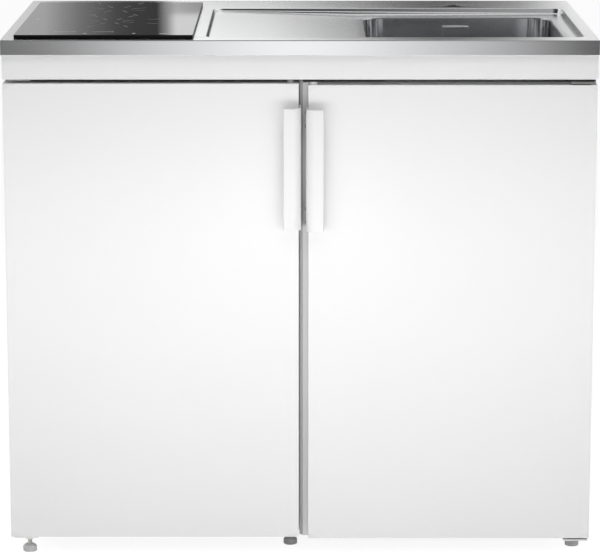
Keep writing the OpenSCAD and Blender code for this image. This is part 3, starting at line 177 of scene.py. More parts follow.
def grid_face(low, high):
    """A bmesh that holds one flat rectangle between two corners at one height."""
    builder = bmesh.new()
    bmesh.ops.create_grid(builder, x_segments=1, y_segments=1, size=0.5)
    size = high - low
    bmesh.ops.scale(builder, vec=(size.x, size.y, 1), verts=builder.verts)
    bmesh.ops.translate(builder, vec=(low + high) / 2, verts=builder.verts)
    return builder


def seen_rays(finish):
    """1 for the rays of the camera, of mirrors and of glass, which see the background."""
    rays = ("Is Camera Ray", "Is Glossy Ray", "Is Transmission Ray")
    return sum(finish.node("ShaderNodeLightPath", output=ray) for ray in rays).clamp(0, 1)


FLOOR_REACH, FLOOR_GLOW, FLOOR_GLOW_SHARE = 40, 1.2, 0.75
floor_finish = Finish("studio_floor")
matt = floor_finish.node("ShaderNodeBsdfDiffuse", {}, {"Color": (0.86, 0.86, 0.86, 1)})
glow = floor_finish.node(
    "ShaderNodeEmission", {}, {"Color": (1, 1, 1, 1), "Strength": FLOOR_GLOW}
)
share = seen_rays(floor_finish) * FLOOR_GLOW_SHARE
floor_finish.output(floor_finish.node("ShaderNodeMixShader", {}, {0: share, 1: matt, 2: glow}))
floor_corner = Vector((FLOOR_REACH, FLOOR_REACH, 0))
floor = new_piece("studio_floor", grid_face(-floor_corner, floor_corner), floor_finish.owner)

AMBIENT = 0.31
world = bpy.data.worlds.new("studio")
bpy.context.scene.world = world
sky = Finish("studio", world)
sky.output(
    sky.node(
        "ShaderNodeBackground",
        {},
        {"Color": (1, 1, 1, 1), "Strength": seen_rays(sky) * (1 - AMBIENT) + AMBIENT},
    ),
    "ShaderNodeOutputWorld",
)


def soft_light(name, place, aim, size, watts):
    """A rectangular softbox that points at a place."""
    lamp = bpy.data.lights.new(name, "AREA")
    lamp.shape, lamp.size, lamp.size_y, lamp.energy = "RECTANGLE", *size, watts
    light = bpy.data.objects.new(name, lamp)
    bpy.context.collection.objects.link(light)
    light.location = place
    light.rotation_euler = (Vector(aim) - Vector(place)).to_track_quat("-Z", "Y").to_euler()
    return light


for light in (
    soft_light("front_strip", (0, front_y - 0.65, 0.52), (0, front_y, 0.52), (1.9, 0.25), 5.3),
    soft_light("front_softbox", (0, -1.7, 2.2), (0, front_y, 0.6), (1.6, 0.6), 6.7),
    soft_light("top_softbox", (0, 0.4, 3.0), (0, 0, 0.9), (2.4, 1.6), 8.5),
    soft_light("rear_softbox", (0, back_y + 2.0, 1.3), (0, back_y, 0.5), (1.8, 1.0), 8.0),
    soft_light("left_softbox", (-2.6, 0.5, 1.2), (-0.5, 0.1, 0.5), (1.2, 1.0), 7.0),
    soft_light("right_softbox", (2.6, 0.5, 1.2), (0.5, 0.1, 0.5), (1.2, 1.0), 7.0),
):
    light.visible_glossy = light.visible_camera = False


CARD_PEAK, CARD_RAMP, CARD_REACH = 1.2, 1.2, 4


def mirror_card(name, at, low, high, spread, levels, lying=False):
    """A card that only mirrors see. It stands at y = at from low to high, or lies at z = at.

    levels gives its brightness over the x where it shows, and spread how much farther out
    that x is on the card itself."""
    card_finish = Finish(name)
    along = card_finish.node(
        "ShaderNodeSeparateXYZ", {}, {"Vector": card_finish.place()}, output="X"
    )
    stops = [(x / CARD_RAMP + 0.5, level / CARD_PEAK) for x, level in levels]
    ramp = card_finish.node(
        "ShaderNodeValToRGB",
        {"stops": stops},
        {"Fac": (along * (1 / (CARD_RAMP * spread)) + 0.5).clamp(0, 1)},
    )
    card_finish.output(
        card_finish.node("ShaderNodeEmission", {}, {"Color": ramp, "Strength": CARD_PEAK})
    )
    builder = grid_face(Vector((-CARD_REACH, low, 0)), Vector((CARD_REACH, high, 0)))
    if not lying:
        upright = Matrix.Rotation(math.pi / 2, 3, "X")
        bmesh.ops.rotate(builder, cent=(0, 0, 0), matrix=upright, verts=builder.verts)
    bmesh.ops.translate(builder, vec=(0, 0, at) if lying else (0, at, 0), verts=builder.verts)
    card = new_piece(name, builder, card_finish.owner)
    card.visible_camera = card.visible_diffuse = card.visible_shadow = False
    card.visible_transmission = False


# The cards' distances from the unit, and the camera's from the worktop's middle
FRONT_AWAY, REAR_AWAY, MIDDLE_AWAY = 1.0, 2.5, 4.9
front_spread, rear_spread = 1 + FRONT_AWAY / MIDDLE_AWAY, 1 + REAR_AWAY / MIDDLE_AWAY
FRONT_CARD_TOP, DARK_CARD_TOP, REAR_CARD_SPLIT, REAR_CARD_TOP = 1.1, 2.35, 1.225, 3.2
OVERHEAD_Z, OVERHEAD_FRONT, OVERHEAD_BACK, OVERHEAD_SPREAD = 2.6, -1.3, 0.42, 1.5
mirror_card(
    "front_card", front_y - FRONT_AWAY, 0.0, FRONT_CARD_TOP, front_spread,
    [
        (-0.5, 0.14), (-0.42, 0.26), (-0.35, 0.48), (-0.28, 0.66), (-0.2, 0.82), (-0.1, 1.03),
        (0, 1.15), (0.1, 1.0), (0.2, 0.78), (0.3, 0.61), (0.38, 0.46), (0.45, 0.24), (0.5, 0.08),
    ],
)
# The rear card is in two parts, because the strip behind the sink mirrors a darker one
hob_levels = [
    (-0.5, 0.72), (-0.47, 0.66), (-0.436, 0.45), (-0.404, 0.30), (-0.372, 0.20),
    (-0.34, 0.12), (-0.307, 0.085), (-0.262, 0.07), (-0.245, 0.45),
]
mirror_card(
    "rear_card_low", back_y + REAR_AWAY, 0.0, REAR_CARD_SPLIT, rear_spread,
    hob_levels + [
        (-0.227, 0.7), (-0.15, 0.4), (-0.05, 0.25), (0, 0.12), (0.05, 0.04), (0.1, 0.0),
        (0.15, 0.0), (0.25, 0.0), (0.3, 0.03), (0.36, 0.14), (0.4, 0.26), (0.43, 0.48),
        (0.46, 0.75), (0.5, 1.05),
    ],
)
mirror_card(
    "rear_card_high", back_y + REAR_AWAY, REAR_CARD_SPLIT, REAR_CARD_TOP, rear_spread,
    hob_levels + [
        (-0.227, 1.2), (-0.15, 1.16), (-0.05, 1.08), (0, 0.96), (0.05, 0.82), (0.1, 0.67),
        (0.15, 0.46), (0.2, 0.31), (0.25, 0.23), (0.3, 0.27), (0.36, 0.36), (0.4, 0.39),
        (0.43, 0.46), (0.46, 0.58), (0.5, 0.78),
    ],
)
# Darker cards higher up in front and overhead, which draw the dark lines along the folds
mirror_card(
    "dark_card", front_y - FRONT_AWAY - 0.01, FRONT_CARD_TOP, DARK_CARD_TOP, front_spread,
    [(-0.5, 0.1), (0.5, 0.1)],
)
mirror_card(
    "overhead_card", OVERHEAD_Z, OVERHEAD_FRONT, OVERHEAD_BACK, OVERHEAD_SPREAD,
    [
        (-0.5, 0.03), (-0.1, 0.05), (0.06, 0.09), (0.17, 0.16), (0.27, 0.26), (0.38, 0.35),
        (0.5, 0.5),
    ],
    lying=True,
)
bpy.context.scene.view_settings.view_transform = "Standard"


# ---- Worktop ----
# One stainless sheet, pressed with the sink recess and its sloping drainer, and folded
# down on all four sides. It is brushed along its length.
def ring(builder, low, high, radius, height):
    """A loop of edges: a rectangle with round corners at one height."""
    there = set(builder.edges)
    corners = bmesh.ops.create_grid(builder, x_segments=1, y_segments=1, size=0.5)["verts"]
    size = high - low
    middle = (low + high) / 2
    bmesh.ops.scale(builder, vec=(size.x, size.y, 1), verts=corners)
    bmesh.ops.translate(builder, vec=(middle.x, middle.y, height), verts=corners)
    bmesh.ops.bevel(
        builder, geom=corners, offset=radius, offset_type="OFFSET", affect="VERTICES",
        segments=10, profile=0.5, material=-1,
    )
    made = [edge for edge in builder.edges if edge not in there]
    bmesh.ops.delete(
        builder, geom=list({face for edge in made for face in edge.link_faces}),
        context="FACES_ONLY",
    )
    return made


def press(builder, edges, low, high, steps, height):
    """Draws a round-cornered loop on through steps of shrink, radius and level.

    low and high are the corners' centres, and height(x, level) gives the height."""
    for shrink, radius, level in steps:
        made = bmesh.ops.extrude_edge_only(builder, edges=edges)["geom"]
        edges = [item for item in made if isinstance(item, bmesh.types.BMEdge)]
        less = Vector((shrink, shrink, 0))
        for vert in (item for item in made if isinstance(item, bmesh.types.BMVert)):
            core = Vector(
                min(max(at, start), end) for at, start, end in zip(vert.co.xy, low, high)
            )
            out = (vert.co.xy - core).normalized() * radius
            moved = (
                min(max(at, start), end)
                for at, start, end in zip(core, low + less, high - less)
            )
            vert.co = (*(Vector(moved) + out), height(vert.co.x, level))
        low, high = low + less, high - less
    return edges


def fill(builder, edges):
    """Closes the flat area between loops."""
    made = bmesh.ops.triangle_fill(
        builder, edges=edges, use_beauty=True, use_dissolve=False, normal=(0, 0, 1)
    )["geom"]
    return [item for item in made if isinstance(item, bmesh.types.BMFace)]


def quarter(radius, steps=4):
    """Points of a quarter circle, from flat to upright: how far along and how far down."""
    turns = [math.pi / 2 * (step + 1) / steps for step in range(steps)]
    return [(radius * math.sin(turn), radius * (1 - math.cos(turn))) for turn in turns]


SHARP_FROM = math.radians(34)


def soften(piece):
    """Smooth shading that keeps broad faces flat and sharp edges sharp."""
    mesh = piece.data
    mesh.polygons.foreach_set("use_smooth", [True] * len(mesh.polygons))
    mesh.set_sharp_from_angle(angle=SHARP_FROM)
    flat = piece.modifiers.new("flat", "WEIGHTED_NORMAL")
    flat.keep_sharp = True


def finish_shell(piece, thickness):
    """The sheet's thickness behind the faces, and smooth shading."""
    sheet = piece.modifiers.new("sheet", "SOLIDIFY")
    sheet.thickness, sheet.offset = thickness, -1
    soften(piece)


brushed = Finish("brushed_stainless")
grain = brushed.noise((6, 900, 900), 3)
broad = brushed.noise((1.5, 60, 60), 2)
streak = grain * 0.6 + broad * 0.4
sheet_steel = brushed.surface(
    Base_Color=brushed.mix(streak, (0.76, 0.77, 0.78), (0.86, 0.86, 0.87)),
    Metallic=1.0,
    Roughness=streak * 0.16 + 0.10,
    Normal=brushed.bump(grain, 0.00001),
)
SHEET, EDGE_H, HEM_W, FOLD_R, CORNER_R = 0.001, 0.026, 0.009, 0.0016, 0.0025
RECESS_LOW = Vector((-0.158, front_y + 0.042, 0))
RECESS_HIGH = Vector((0.477, front_y + 0.470, 0))
RECESS_R, RECESS_LIP, DRAINER_DROP, BOWL_DROP = 0.016, 0.0012, 0.004, 0.009
BOWL_LOW = Vector((0.113, front_y + 0.075, 0))
BOWL_HIGH = Vector((0.448, front_y + 0.408, 0))
BOWL_R, BOWL_H, BOWL_FLOOR_R, BOWL_LEAN, RIM_R = 0.038, 0.150, 0.020, 0.006, 0.0025
BOWL_X, BOWL_Y = (BOWL_LOW.x + BOWL_HIGH.x) / 2, (BOWL_LOW.y + BOWL_HIGH.y) / 2
TAP_Y, TAP_R = RECESS_HIGH.y + 0.042, 0.0175
HOB_LAP, HOB_HOLE_R = Vector((0.015, 0.015, 0)), 0.006
slope_start, slope_end = RECESS_LOW.x + RECESS_R, BOWL_LOW.x - RECESS_R
mouth_z = top_z - BOWL_DROP
hob_low, hob_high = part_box("hob_glass")


def recess_height(x, level):
    """Height in the recess at x, where level is 0 on the sheet and 1 on the floor."""
    along = min(max((x - slope_start) / (slope_end - slope_start), 0), 1)
    return top_z - level * (DRAINER_DROP + (BOWL_DROP - DRAINER_DROP) * along)


def inset(corners, margin):
    """The two corners of a rectangle, moved in by a margin."""
    return corners[0] + Vector((margin, margin, 0)), corners[1] - Vector((margin, margin, 0))


builder = bmesh.new()
outer = ring(builder, *inset((top_low, top_high), FOLD_R), CORNER_R - FOLD_R, top_z)
hob_hole = ring(builder, hob_low + HOB_LAP, hob_high - HOB_LAP, HOB_HOLE_R, top_z)
there = set(builder.edges)
bmesh.ops.create_circle(
    builder, segments=48, radius=TAP_R, matrix=Matrix.Translation((BOWL_X, TAP_Y, top_z))
)
tap_hole = [edge for edge in builder.edges if edge not in there]
recess = ring(
    builder, *inset((RECESS_LOW, RECESS_HIGH), -RECESS_LIP), RECESS_R + RECESS_LIP, top_z
)
fill(builder, outer + hob_hole + tap_hole + recess)
recess_core = inset((RECESS_LOW, RECESS_HIGH), RECESS_R)
RECESS_WALL = (
    (0.0005, 0.03), (-0.0002, 0.10), (-0.0010, 0.24), (-0.0034, 0.76), (-0.0044, 0.91),
    (-0.0056, 0.98), (-0.0072, 1.0),
)
steps = [(0, RECESS_R + out, level) for out, level in RECESS_WALL]
recess_foot = press(builder, recess, *recess_core, steps, recess_height)
bowl_core = inset((BOWL_LOW, BOWL_HIGH), BOWL_R)
mouth = ring(builder, *inset((BOWL_LOW, BOWL_HIGH), -RIM_R), BOWL_R + RIM_R, mouth_z)
fill(builder, recess_foot + mouth)
for bend_x in (slope_start, slope_end):
    bmesh.ops.bisect_plane(
        builder, geom=list(builder.verts) + list(builder.edges) + list(builder.faces),
        plane_co=(bend_x, 0, 0), plane_no=(1, 0, 0),
    )
# The bends across the recess's floor, and the bowl's mouth, go on to the slope
FLOOR_PLAY = 0.0001
floor_low, floor_high = inset((RECESS_LOW, RECESS_HIGH), -RECESS_WALL[-1][0] - FLOOR_PLAY)
for vert in builder.verts:
    inside = all(floor_low[axis] < vert.co[axis] < floor_high[axis] for axis in (0, 1))
    if inside and vert.co.z < top_z - 0.75 * DRAINER_DROP:
        vert.co.z = recess_height(vert.co.x, 1.0)
# The folded edge: a bend down, the upright face, a bend in, and the hems
outer_core = inset((top_low, top_high), CORNER_R)
base = CORNER_R - FOLD_R
bend_down = [(0, base + along, down) for along, down in quarter(FOLD_R)]
bend_in = [(0, base + along, EDGE_H - down) for along, down in reversed(quarter(FOLD_R)[:-1])]
steps = bend_down + [(0, CORNER_R, EDGE_H - FOLD_R)] + bend_in + [(0, base, EDGE_H)]
AT_OUTLINE = 0.003
outer_edges = [
    edge for edge in builder.edges
    if len(edge.link_faces) == 1
    and all(
        min(abs(vert.co.x - top_low.x), abs(vert.co.x - top_high.x),
            abs(vert.co.y - top_low.y), abs(vert.co.y - top_high.y)) < AT_OUTLINE
        for vert in edge.verts
    )
]
hem_line = press(builder, outer_edges, *outer_core, steps, lambda x, down: top_z - down)
for side, inward in ((top_low.y, HEM_W), (top_high.y, -HEM_W)):
    long_edges = [
        edge for edge in hem_line
        if all(abs(vert.co.y - side) < AT_OUTLINE for vert in edge.verts)
        and edge.calc_length() > 2 * BOWL_R
    ]
    hem = bmesh.ops.extrude_edge_only(builder, edges=long_edges)["geom"]
    bmesh.ops.translate(
        builder, vec=(0, inward, 0),
        verts=[item for item in hem if isinstance(item, bmesh.types.BMVert)],
    )
bmesh.ops.recalc_face_normals(builder, faces=builder.faces)
broadest = max(builder.faces, key=lambda face: face.calc_area())
if broadest.normal.z < 0:
    bmesh.ops.reverse_faces(builder, faces=builder.faces)
worktop = new_piece("pressed_worktop", builder, sheet_steel)
finish_shell(worktop, SHEET)


# ---- Bowl ----
# A deep-drawn bowl welded into the recess, with a rounded rim, leaning walls and a well
# rounded floor around the waste. Drawing leaves it satin, not brushed.
WASTE_R = 0.045
satin = Finish("satin_stainless")
cloudy = satin.noise((60, 60, 60), 4)
fine = satin.noise((1500, 1500, 1500), 2)
bowl_steel = satin.surface(
    Base_Color=satin.mix(cloudy, (0.55, 0.56, 0.57), (0.61, 0.61, 0.62)),
    Metallic=1.0,
    Roughness=cloudy * 0.06 + 0.08,
    Normal=satin.bump(fine, 0.00001),
)
builder = bmesh.new()
rim = ring(builder, *inset((BOWL_LOW, BOWL_HIGH), -RIM_R), BOWL_R + RIM_R, mouth_z)
steps = [(0, BOWL_R + RIM_R - along, down) for along, down in quarter(RIM_R)]
steps.append((BOWL_LEAN, BOWL_R, BOWL_H - BOWL_FLOOR_R))
steps += [
    (0, BOWL_R - down, BOWL_H - BOWL_FLOOR_R + along)
    for along, down in quarter(BOWL_FLOOR_R, 8)
]
bowl_foot = press(builder, rim, *bowl_core, steps, lambda x, down: mouth_z - down)
there = set(builder.edges)
bmesh.ops.create_circle(
    builder, segments=64, radius=WASTE_R,
    matrix=Matrix.Translation((BOWL_X, BOWL_Y, mouth_z - BOWL_H)),
)
waste_hole = [edge for edge in builder.edges if edge not in there]
bowl_flat = fill(builder, bowl_foot + waste_hole)
bmesh.ops.recalc_face_normals(builder, faces=builder.faces)
if bowl_flat[0].normal.z < 0:
    bmesh.ops.reverse_faces(builder, faces=builder.faces)
bowl = new_piece("drawn_bowl", builder, bowl_steel)
finish_shell(bowl, SHEET)
for piece, node in ((worktop, "worktop"), (bowl, "sink_bowl")):
    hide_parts(node)
    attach(piece, "unit")


# ---- Overflow, waste and trap ----
# Polished steel fittings in the bowl, and white plastic pipes below it that lead the
# water to the wall.
def paint(finish, *names):
    """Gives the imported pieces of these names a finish."""
    for name in names:
        for slot in cad[name].material_slots:
            slot.material = finish


def copied(name):
    """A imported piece's mesh, with its loose triangles joined up into flat faces."""
    builder = bmesh.new()
    builder.from_mesh(cad[name].data)
    bmesh.ops.remove_doubles(builder, verts=builder.verts, dist=2e-6)
    bmesh.ops.dissolve_limit(
        builder, angle_limit=math.radians(1), verts=builder.verts, edges=builder.edges,
        use_dissolve_boundaries=False,
    )
    return builder


ROUNDED_FROM, FACE_ROOM = math.radians(35), 2.2


def round_edges(builder, radius, segments=3):
    """Rounds the sharp outer edges between faces that are broad enough for the radius."""
    edges = [
        edge for edge in builder.edges
        if edge.is_manifold and edge.is_convex and edge.calc_face_angle() > ROUNDED_FROM
        and all(
            face.calc_area() > FACE_ROOM * radius * edge.calc_length()
            for face in edge.link_faces
        )
    ]
    bmesh.ops.bevel(
        builder, geom=edges, offset=radius, offset_type="OFFSET", affect="EDGES",
        segments=segments, profile=0.5, material=-1, clamp_overlap=True,
    )


def place_piece(piece, body, slot, *nodes):
    """Says which body a piece rides on and what it stands for. slot is not used."""
    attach(piece, body)
    if nodes:
        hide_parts(*nodes)


def rounded(node, radius, finish, body, slot, segments=3):
    """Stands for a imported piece, with its outer edges rounded."""
    builder = copied(node)
    round_edges(builder, radius, segments)
    piece = new_piece(node + "_formed", builder, finish)
    soften(piece)
    place_piece(piece, body, slot, node)
    return piece


polished = Finish("polished_stainless")
smear = polished.noise((90, 90, 90), 3)
fitting_steel = polished.surface(
    Base_Color=polished.mix(smear, (0.74, 0.75, 0.76), (0.82, 0.82, 0.83)),
    Metallic=1.0,
    Roughness=smear * 0.06 + 0.1,
)
paint(fitting_steel, "waste_body")
rounded("overflow_cover", 0.003, sheet_steel, "unit", "stainless_fitting", 5)
rounded("strainer_basket", 0.0004, fitting_steel, "strainer_basket", "stainless_fitting", 2)


def moulded(name, dark, light, rough, grains=700, depth=0.00002):
    """Moulded plastic: a slight cloudiness and a fine eroded skin."""
    plastic = Finish(name)
    cloud = plastic.noise((14, 14, 14), 3)
    skin = plastic.noise((grains, grains, grains), 2)
    return plastic.surface(
        Base_Color=plastic.mix(cloud, dark, light),
        Roughness=skin * 0.1 + (rough - 0.05),
        Normal=plastic.bump(skin, depth),
    )


pipe_plastic = moulded("pipe_plastic", (0.80, 0.80, 0.79), (0.86, 0.86, 0.85), 0.42)
paint(pipe_plastic, "waste_outlet_pipe")


RIB_TAPER = 0.6


def ribs(builder, middle, radius, low, high, count, depth):
    """Grip ribs around an upright round part, thinner at their top."""
    for number in range(count):
        turn = Matrix.Rotation(2 * math.pi * number / count, 4, "Z")
        made = bmesh.ops.create_cone(
            builder, cap_ends=True, segments=8, radius1=depth, radius2=depth, depth=high - low,
            matrix=Matrix.Translation((*middle, (low + high) / 2)) @ turn
            @ Matrix.Translation((radius, 0, 0)),
        )["verts"]
        top = [vert for vert in made if vert.co.z > (low + high) / 2]
        bmesh.ops.scale(
            builder, vec=(RIB_TAPER, RIB_TAPER, 1), verts=top,
            space=Matrix.Translation(-sum((vert.co for vert in top), Vector()) / len(top)),
        )


EASED_R = 0.0008
NUT_TOP_IN, NUT_RIBS, NUT_RIB_R = 0.001, 24, 0.0013
for node, nut_r, nut_h in (("bottle_trap", 0.0270, 0.020), ("trap_cup", 0.0419, 0.016)):
    nut_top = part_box(node)[1].z - NUT_TOP_IN
    builder = copied(node)
    round_edges(builder, EASED_R, 2)
    ribs(builder, (BOWL_X, BOWL_Y), nut_r, nut_top - nut_h, nut_top, NUT_RIBS, NUT_RIB_R)
    piece = new_piece(node + "_formed", builder, pipe_plastic)
    soften(piece)
    place_piece(piece, "unit", "pipe_plastic", node)


# ---- Overflow hose ----
# Soft grey plastic, from a flange behind the overflow down to the waste. It is corrugated
# where it hangs free, and smooth at both its ends.
HOSE_R, HOSE_WAVE, HOSE_PITCH, HOSE_BEND = 0.011, 0.0012, 0.004, 0.024
HOSE_STEPS, ELBOW_STEPS, SMOOTH_FOOT, SMOOTH_TOP = 12, 8, 12, 26
FLANGE_R, FLANGE_T, FLANGE_TO_BACK = 0.018, 0.004, 0.026
hose_plastic = moulded("hose_plastic", (0.42, 0.43, 0.44), (0.50, 0.51, 0.52), 0.5)
hose_low, hose_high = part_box("overflow_hose")
hose_top_z = hose_high.z - FLANGE_R
hose_foot_z = hose_low.z + HOSE_R
hose_back_y = hose_high.y - HOSE_R
path = [Vector((BOWL_X, hose_low.y, hose_foot_z))]
bend_middle = Vector((BOWL_X, hose_back_y - HOSE_BEND, hose_foot_z + HOSE_BEND))
path += [
    bend_middle + HOSE_BEND * Vector((0, math.sin(turn), -math.cos(turn)))
    for turn in (math.pi / 2 * step / HOSE_STEPS for step in range(HOSE_STEPS + 1))
]
elbow_middle = Vector((BOWL_X, hose_back_y - HOSE_R, hose_top_z - HOSE_R))
path += [
    elbow_middle + HOSE_R * Vector((0, math.cos(turn), math.sin(turn)))
    for turn in (math.pi / 2 * step / ELBOW_STEPS for step in range(ELBOW_STEPS + 1))
]
path.append(Vector((BOWL_X, hose_high.y - FLANGE_TO_BACK - HOSE_R + SHEET, hose_top_z)))


def along_path(points, step):
    """Points one step apart along a line of points, each with its direction."""
    walked, left = [], 0.0
    for start, end in zip(points, points[1:]):
        way = end - start
        while left <= way.length:
            walked.append((start + way.normalized() * left, way.normalized()))
            left += step
        left -= way.length
    return walked


def tube(builder, rings, segments=24):
    """A closed tube through rings, each with a place, a direction and a radius."""
    place, way, radius = rings[0]
    made = bmesh.ops.create_circle(
        builder, segments=segments, radius=radius, cap_ends=True,
        matrix=Matrix.Translation(place) @ way.to_track_quat("Z", "X").to_matrix().to_4x4(),
    )["verts"]
    face = made[0].link_faces[0]
    for next_place, next_way, next_radius in rings[1:]:
        face = bmesh.ops.extrude_discrete_faces(builder, faces=[face])["faces"][0]
        turn = way.rotation_difference(next_way).to_matrix().to_4x4()
        grow = Matrix.Diagonal((*[next_radius / radius] * 3, 1))
        bmesh.ops.transform(
            builder, verts=face.verts,
            matrix=Matrix.Translation(next_place) @ turn @ grow @ Matrix.Translation(-place),
        )
        place, way, radius = next_place, next_way, next_radius
    bmesh.ops.recalc_face_normals(builder, faces=builder.faces)


walk = along_path(path, HOSE_PITCH / 4)
rings = []
for number, (place, way) in enumerate(walk):
    free = SMOOTH_FOOT < number < len(walk) - SMOOTH_TOP
    wave = (math.cos(math.pi / 2 * number) - 1) / 2 if free else 0
    rings.append((place, way, HOSE_R + HOSE_WAVE * wave))
builder = bmesh.new()
tube(builder, rings)
bmesh.ops.create_cone(
    builder, cap_ends=True, segments=40, radius1=FLANGE_R, radius2=FLANGE_R - SHEET,
    depth=FLANGE_T,
    matrix=Matrix.Translation((BOWL_X, BOWL_HIGH.y + SHEET + FLANGE_T / 2, hose_top_z))
    @ Matrix.Rotation(-math.pi / 2, 4, "X"),
)
hose = new_piece("corrugated_hose", builder, hose_plastic)
soften(hose)
place_piece(hose, "unit", "grey_plastic", "overflow_hose")


# ---- Hob ----
# A black ceramic glass bonded over a steel tray, with two radiant heaters pressed up
# against it and spring clips that hold it in the worktop.
ceramic_glass = Finish("hob_glass")
depth = ceramic_glass.noise((40, 40, 40), 2)
hob_black = ceramic_glass.surface(
    Base_Color=ceramic_glass.mix(depth, (0.008, 0.008, 0.009), (0.014, 0.014, 0.015)),
    Roughness=depth * 0.02 + 0.03,
    IOR=1.54,
)
ground_edge = Finish("hob_ground_edge")
grit = ground_edge.noise((900, 900, 900), 2)
edge_black = ground_edge.surface(
    Base_Color=ground_edge.mix(grit, (0.003, 0.003, 0.003), (0.006, 0.006, 0.006)),
    Roughness=grit * 0.1 + 0.3,
    Specular_IOR_Level=0.2,
)
glass = rounded("hob_glass", 0.0007, hob_black, "unit", "hob_glass")
glass.data.materials.append(edge_black)
for face in glass.data.polygons:
    face.material_index = 0 if face.normal.z > 0.8 else 1


# ---- Print on the hob ----
# Strokes around both zones, and dots and rows of ticks to touch, printed on the glass in
# two greys. The photograph shows them only as fine light strokes.
print_ink = moulded("hob_print", (0.30, 0.30, 0.31), (0.40, 0.40, 0.41), 0.5)
touch_ink = moulded("hob_touch_marks", (0.75, 0.75, 0.76), (0.85, 0.85, 0.86), 0.5)
INK_T, STROKES, STROKE_W, STROKE_L, STROKE_OUT = 0.00006, 8, 0.0016, 0.022, 0.008
INNER_AT, INNER_L = 0.45, 0.3
ZONE_MARGIN, LARGE_R, SMALL_R = 0.024, 0.09, 0.0725
zones = (
    (hob_high.y - ZONE_MARGIN - LARGE_R, LARGE_R),
    (hob_high.y - ZONE_MARGIN - 2 * LARGE_R - ZONE_MARGIN - SMALL_R, SMALL_R),
)
hob_x = (hob_low.x + hob_high.x) / 2


def mark(builder, x, y, length, width, turn=0.0):
    """One printed stroke on the glass."""
    bmesh.ops.create_cube(
        builder, size=1,
        matrix=Matrix.Translation((x, y, hob_high.z + INK_T / 2))
        @ Matrix.Rotation(turn, 4, "Z")
        @ Matrix.Diagonal((length, width, INK_T, 1)),
    )


def dot(builder, x, y, radius):
    """One printed dot."""
    bmesh.ops.create_cone(
        builder, cap_ends=True, segments=20, radius1=radius, radius2=radius, depth=INK_T,
        matrix=Matrix.Translation((x, y, hob_high.z + INK_T / 2)),
    )


strokes = bmesh.new()
for zone_y, zone_r in zones:
    for number in range(STROKES):
        turn = math.radians(360 / STROKES * (number + 0.5))
        for along, length in (
            (zone_r + STROKE_OUT, STROKE_L), (zone_r * INNER_AT, zone_r * INNER_L)
        ):
            mark(
                strokes, hob_x + along * math.cos(turn), zone_y + along * math.sin(turn),
                length, STROKE_W, turn,
            )
# The touch field's marks, measured from the glass's left front corner
DOT_R, DOTS = 0.0030, ((0.028, 0.022), (0.118, 0.022), (0.20, 0.022), (0.02, 0.23))
BAR_AT, BAR_L, BAR_W = (0.252, 0.02), 0.018, 0.0035
TICK_STARTS, TICKS, TICK_PITCH, TICK_Y, TICK_W, TICK_L = (
    (0.066, 0.130), 9, 0.0042, 0.045, 0.0009, 0.010
)
touches = bmesh.new()
for x, y in DOTS:
    dot(touches, hob_low.x + x, hob_low.y + y, DOT_R)
mark(touches, hob_low.x + BAR_AT[0], hob_low.y + BAR_AT[1], BAR_L, BAR_W)
for start in TICK_STARTS:
    for tick in range(TICKS):
        tick_x = hob_low.x + start + TICK_PITCH * tick
        mark(touches, tick_x, hob_low.y + TICK_Y, TICK_W, TICK_L)
for name, builder, ink in (
    ("hob_zone_print", strokes, print_ink), ("hob_touch_print", touches, touch_ink)
):
    place_piece(new_piece(name, builder, ink), "unit", "hob_glass")


# ---- Bare sheet and heaters ----
# The frame's rails, the hob's tray and the fridge's back are galvanised, the clips are
# zinc-plated, and the heaters are pressed mineral wool.
def plated(name, dark, light, rough, metal=1.0):
    """Galvanised or zinc-plated sheet, or wool: patches of slightly different brightness."""
    sheet = Finish(name)
    cells = sheet.node(
        "ShaderNodeTexVoronoi", {}, {"Vector": sheet.place((90, 90, 90)), "Scale": 1.0}
    )
    patch = cells * 0.6 + sheet.noise((300, 300, 300), 2) * 0.4
    return sheet.surface(
        Base_Color=sheet.mix(patch, dark, light),
        Metallic=metal,
        Roughness=patch * 0.12 + rough,
    )


galvanised = plated("galvanised_sheet", (0.48, 0.49, 0.50), (0.64, 0.65, 0.66), 0.34)
zinc = plated("zinc_plate", (0.62, 0.62, 0.60), (0.74, 0.74, 0.72), 0.28)
heater_finish = plated("heater_ceramic", (0.50, 0.49, 0.47), (0.62, 0.61, 0.59), 0.7, 0.0)
paint(galvanised, "hob_tray", "frame_side_rails", "frame_rear_rail", "fridge_back_panel")
paint(heater_finish, "radiant_heaters")
paint(zinc, "hob_clamps")


# ---- Fascia, fridge case, cabinet and the skins of both doors ----
# Folded steel sheet with a white stoved lacquer, which shows a very fine orange peel. Its
# bends and edges are rounded.
lacquer = Finish("white_lacquer")
peel = lacquer.noise((260, 260, 260), 2)
tone = lacquer.noise((3, 3, 3), 2)
white_lacquer = lacquer.surface(
    Base_Color=lacquer.mix(tone, (0.885, 0.885, 0.885), (0.90, 0.90, 0.90)),
    Roughness=tone * 0.06 + 0.3,
    Normal=lacquer.bump(peel, 0.00002),
)
BEND_R = 0.0014
for node, body in (
    ("fascia_panel", "unit"), ("fridge_case", "unit"), ("cabinet_side_left", "unit"),
    ("cabinet_side_right", "unit"), ("cabinet_floor", "unit"), ("cabinet_back", "unit"),
    ("cabinet_shelf", "unit"), ("cabinet_crossbar", "unit"),
    ("fridge_door_panel", "fridge_door"), ("cabinet_door_panel", "cabinet_door"),
):
    rounded(node, BEND_R, white_lacquer, body, "white_enamel")
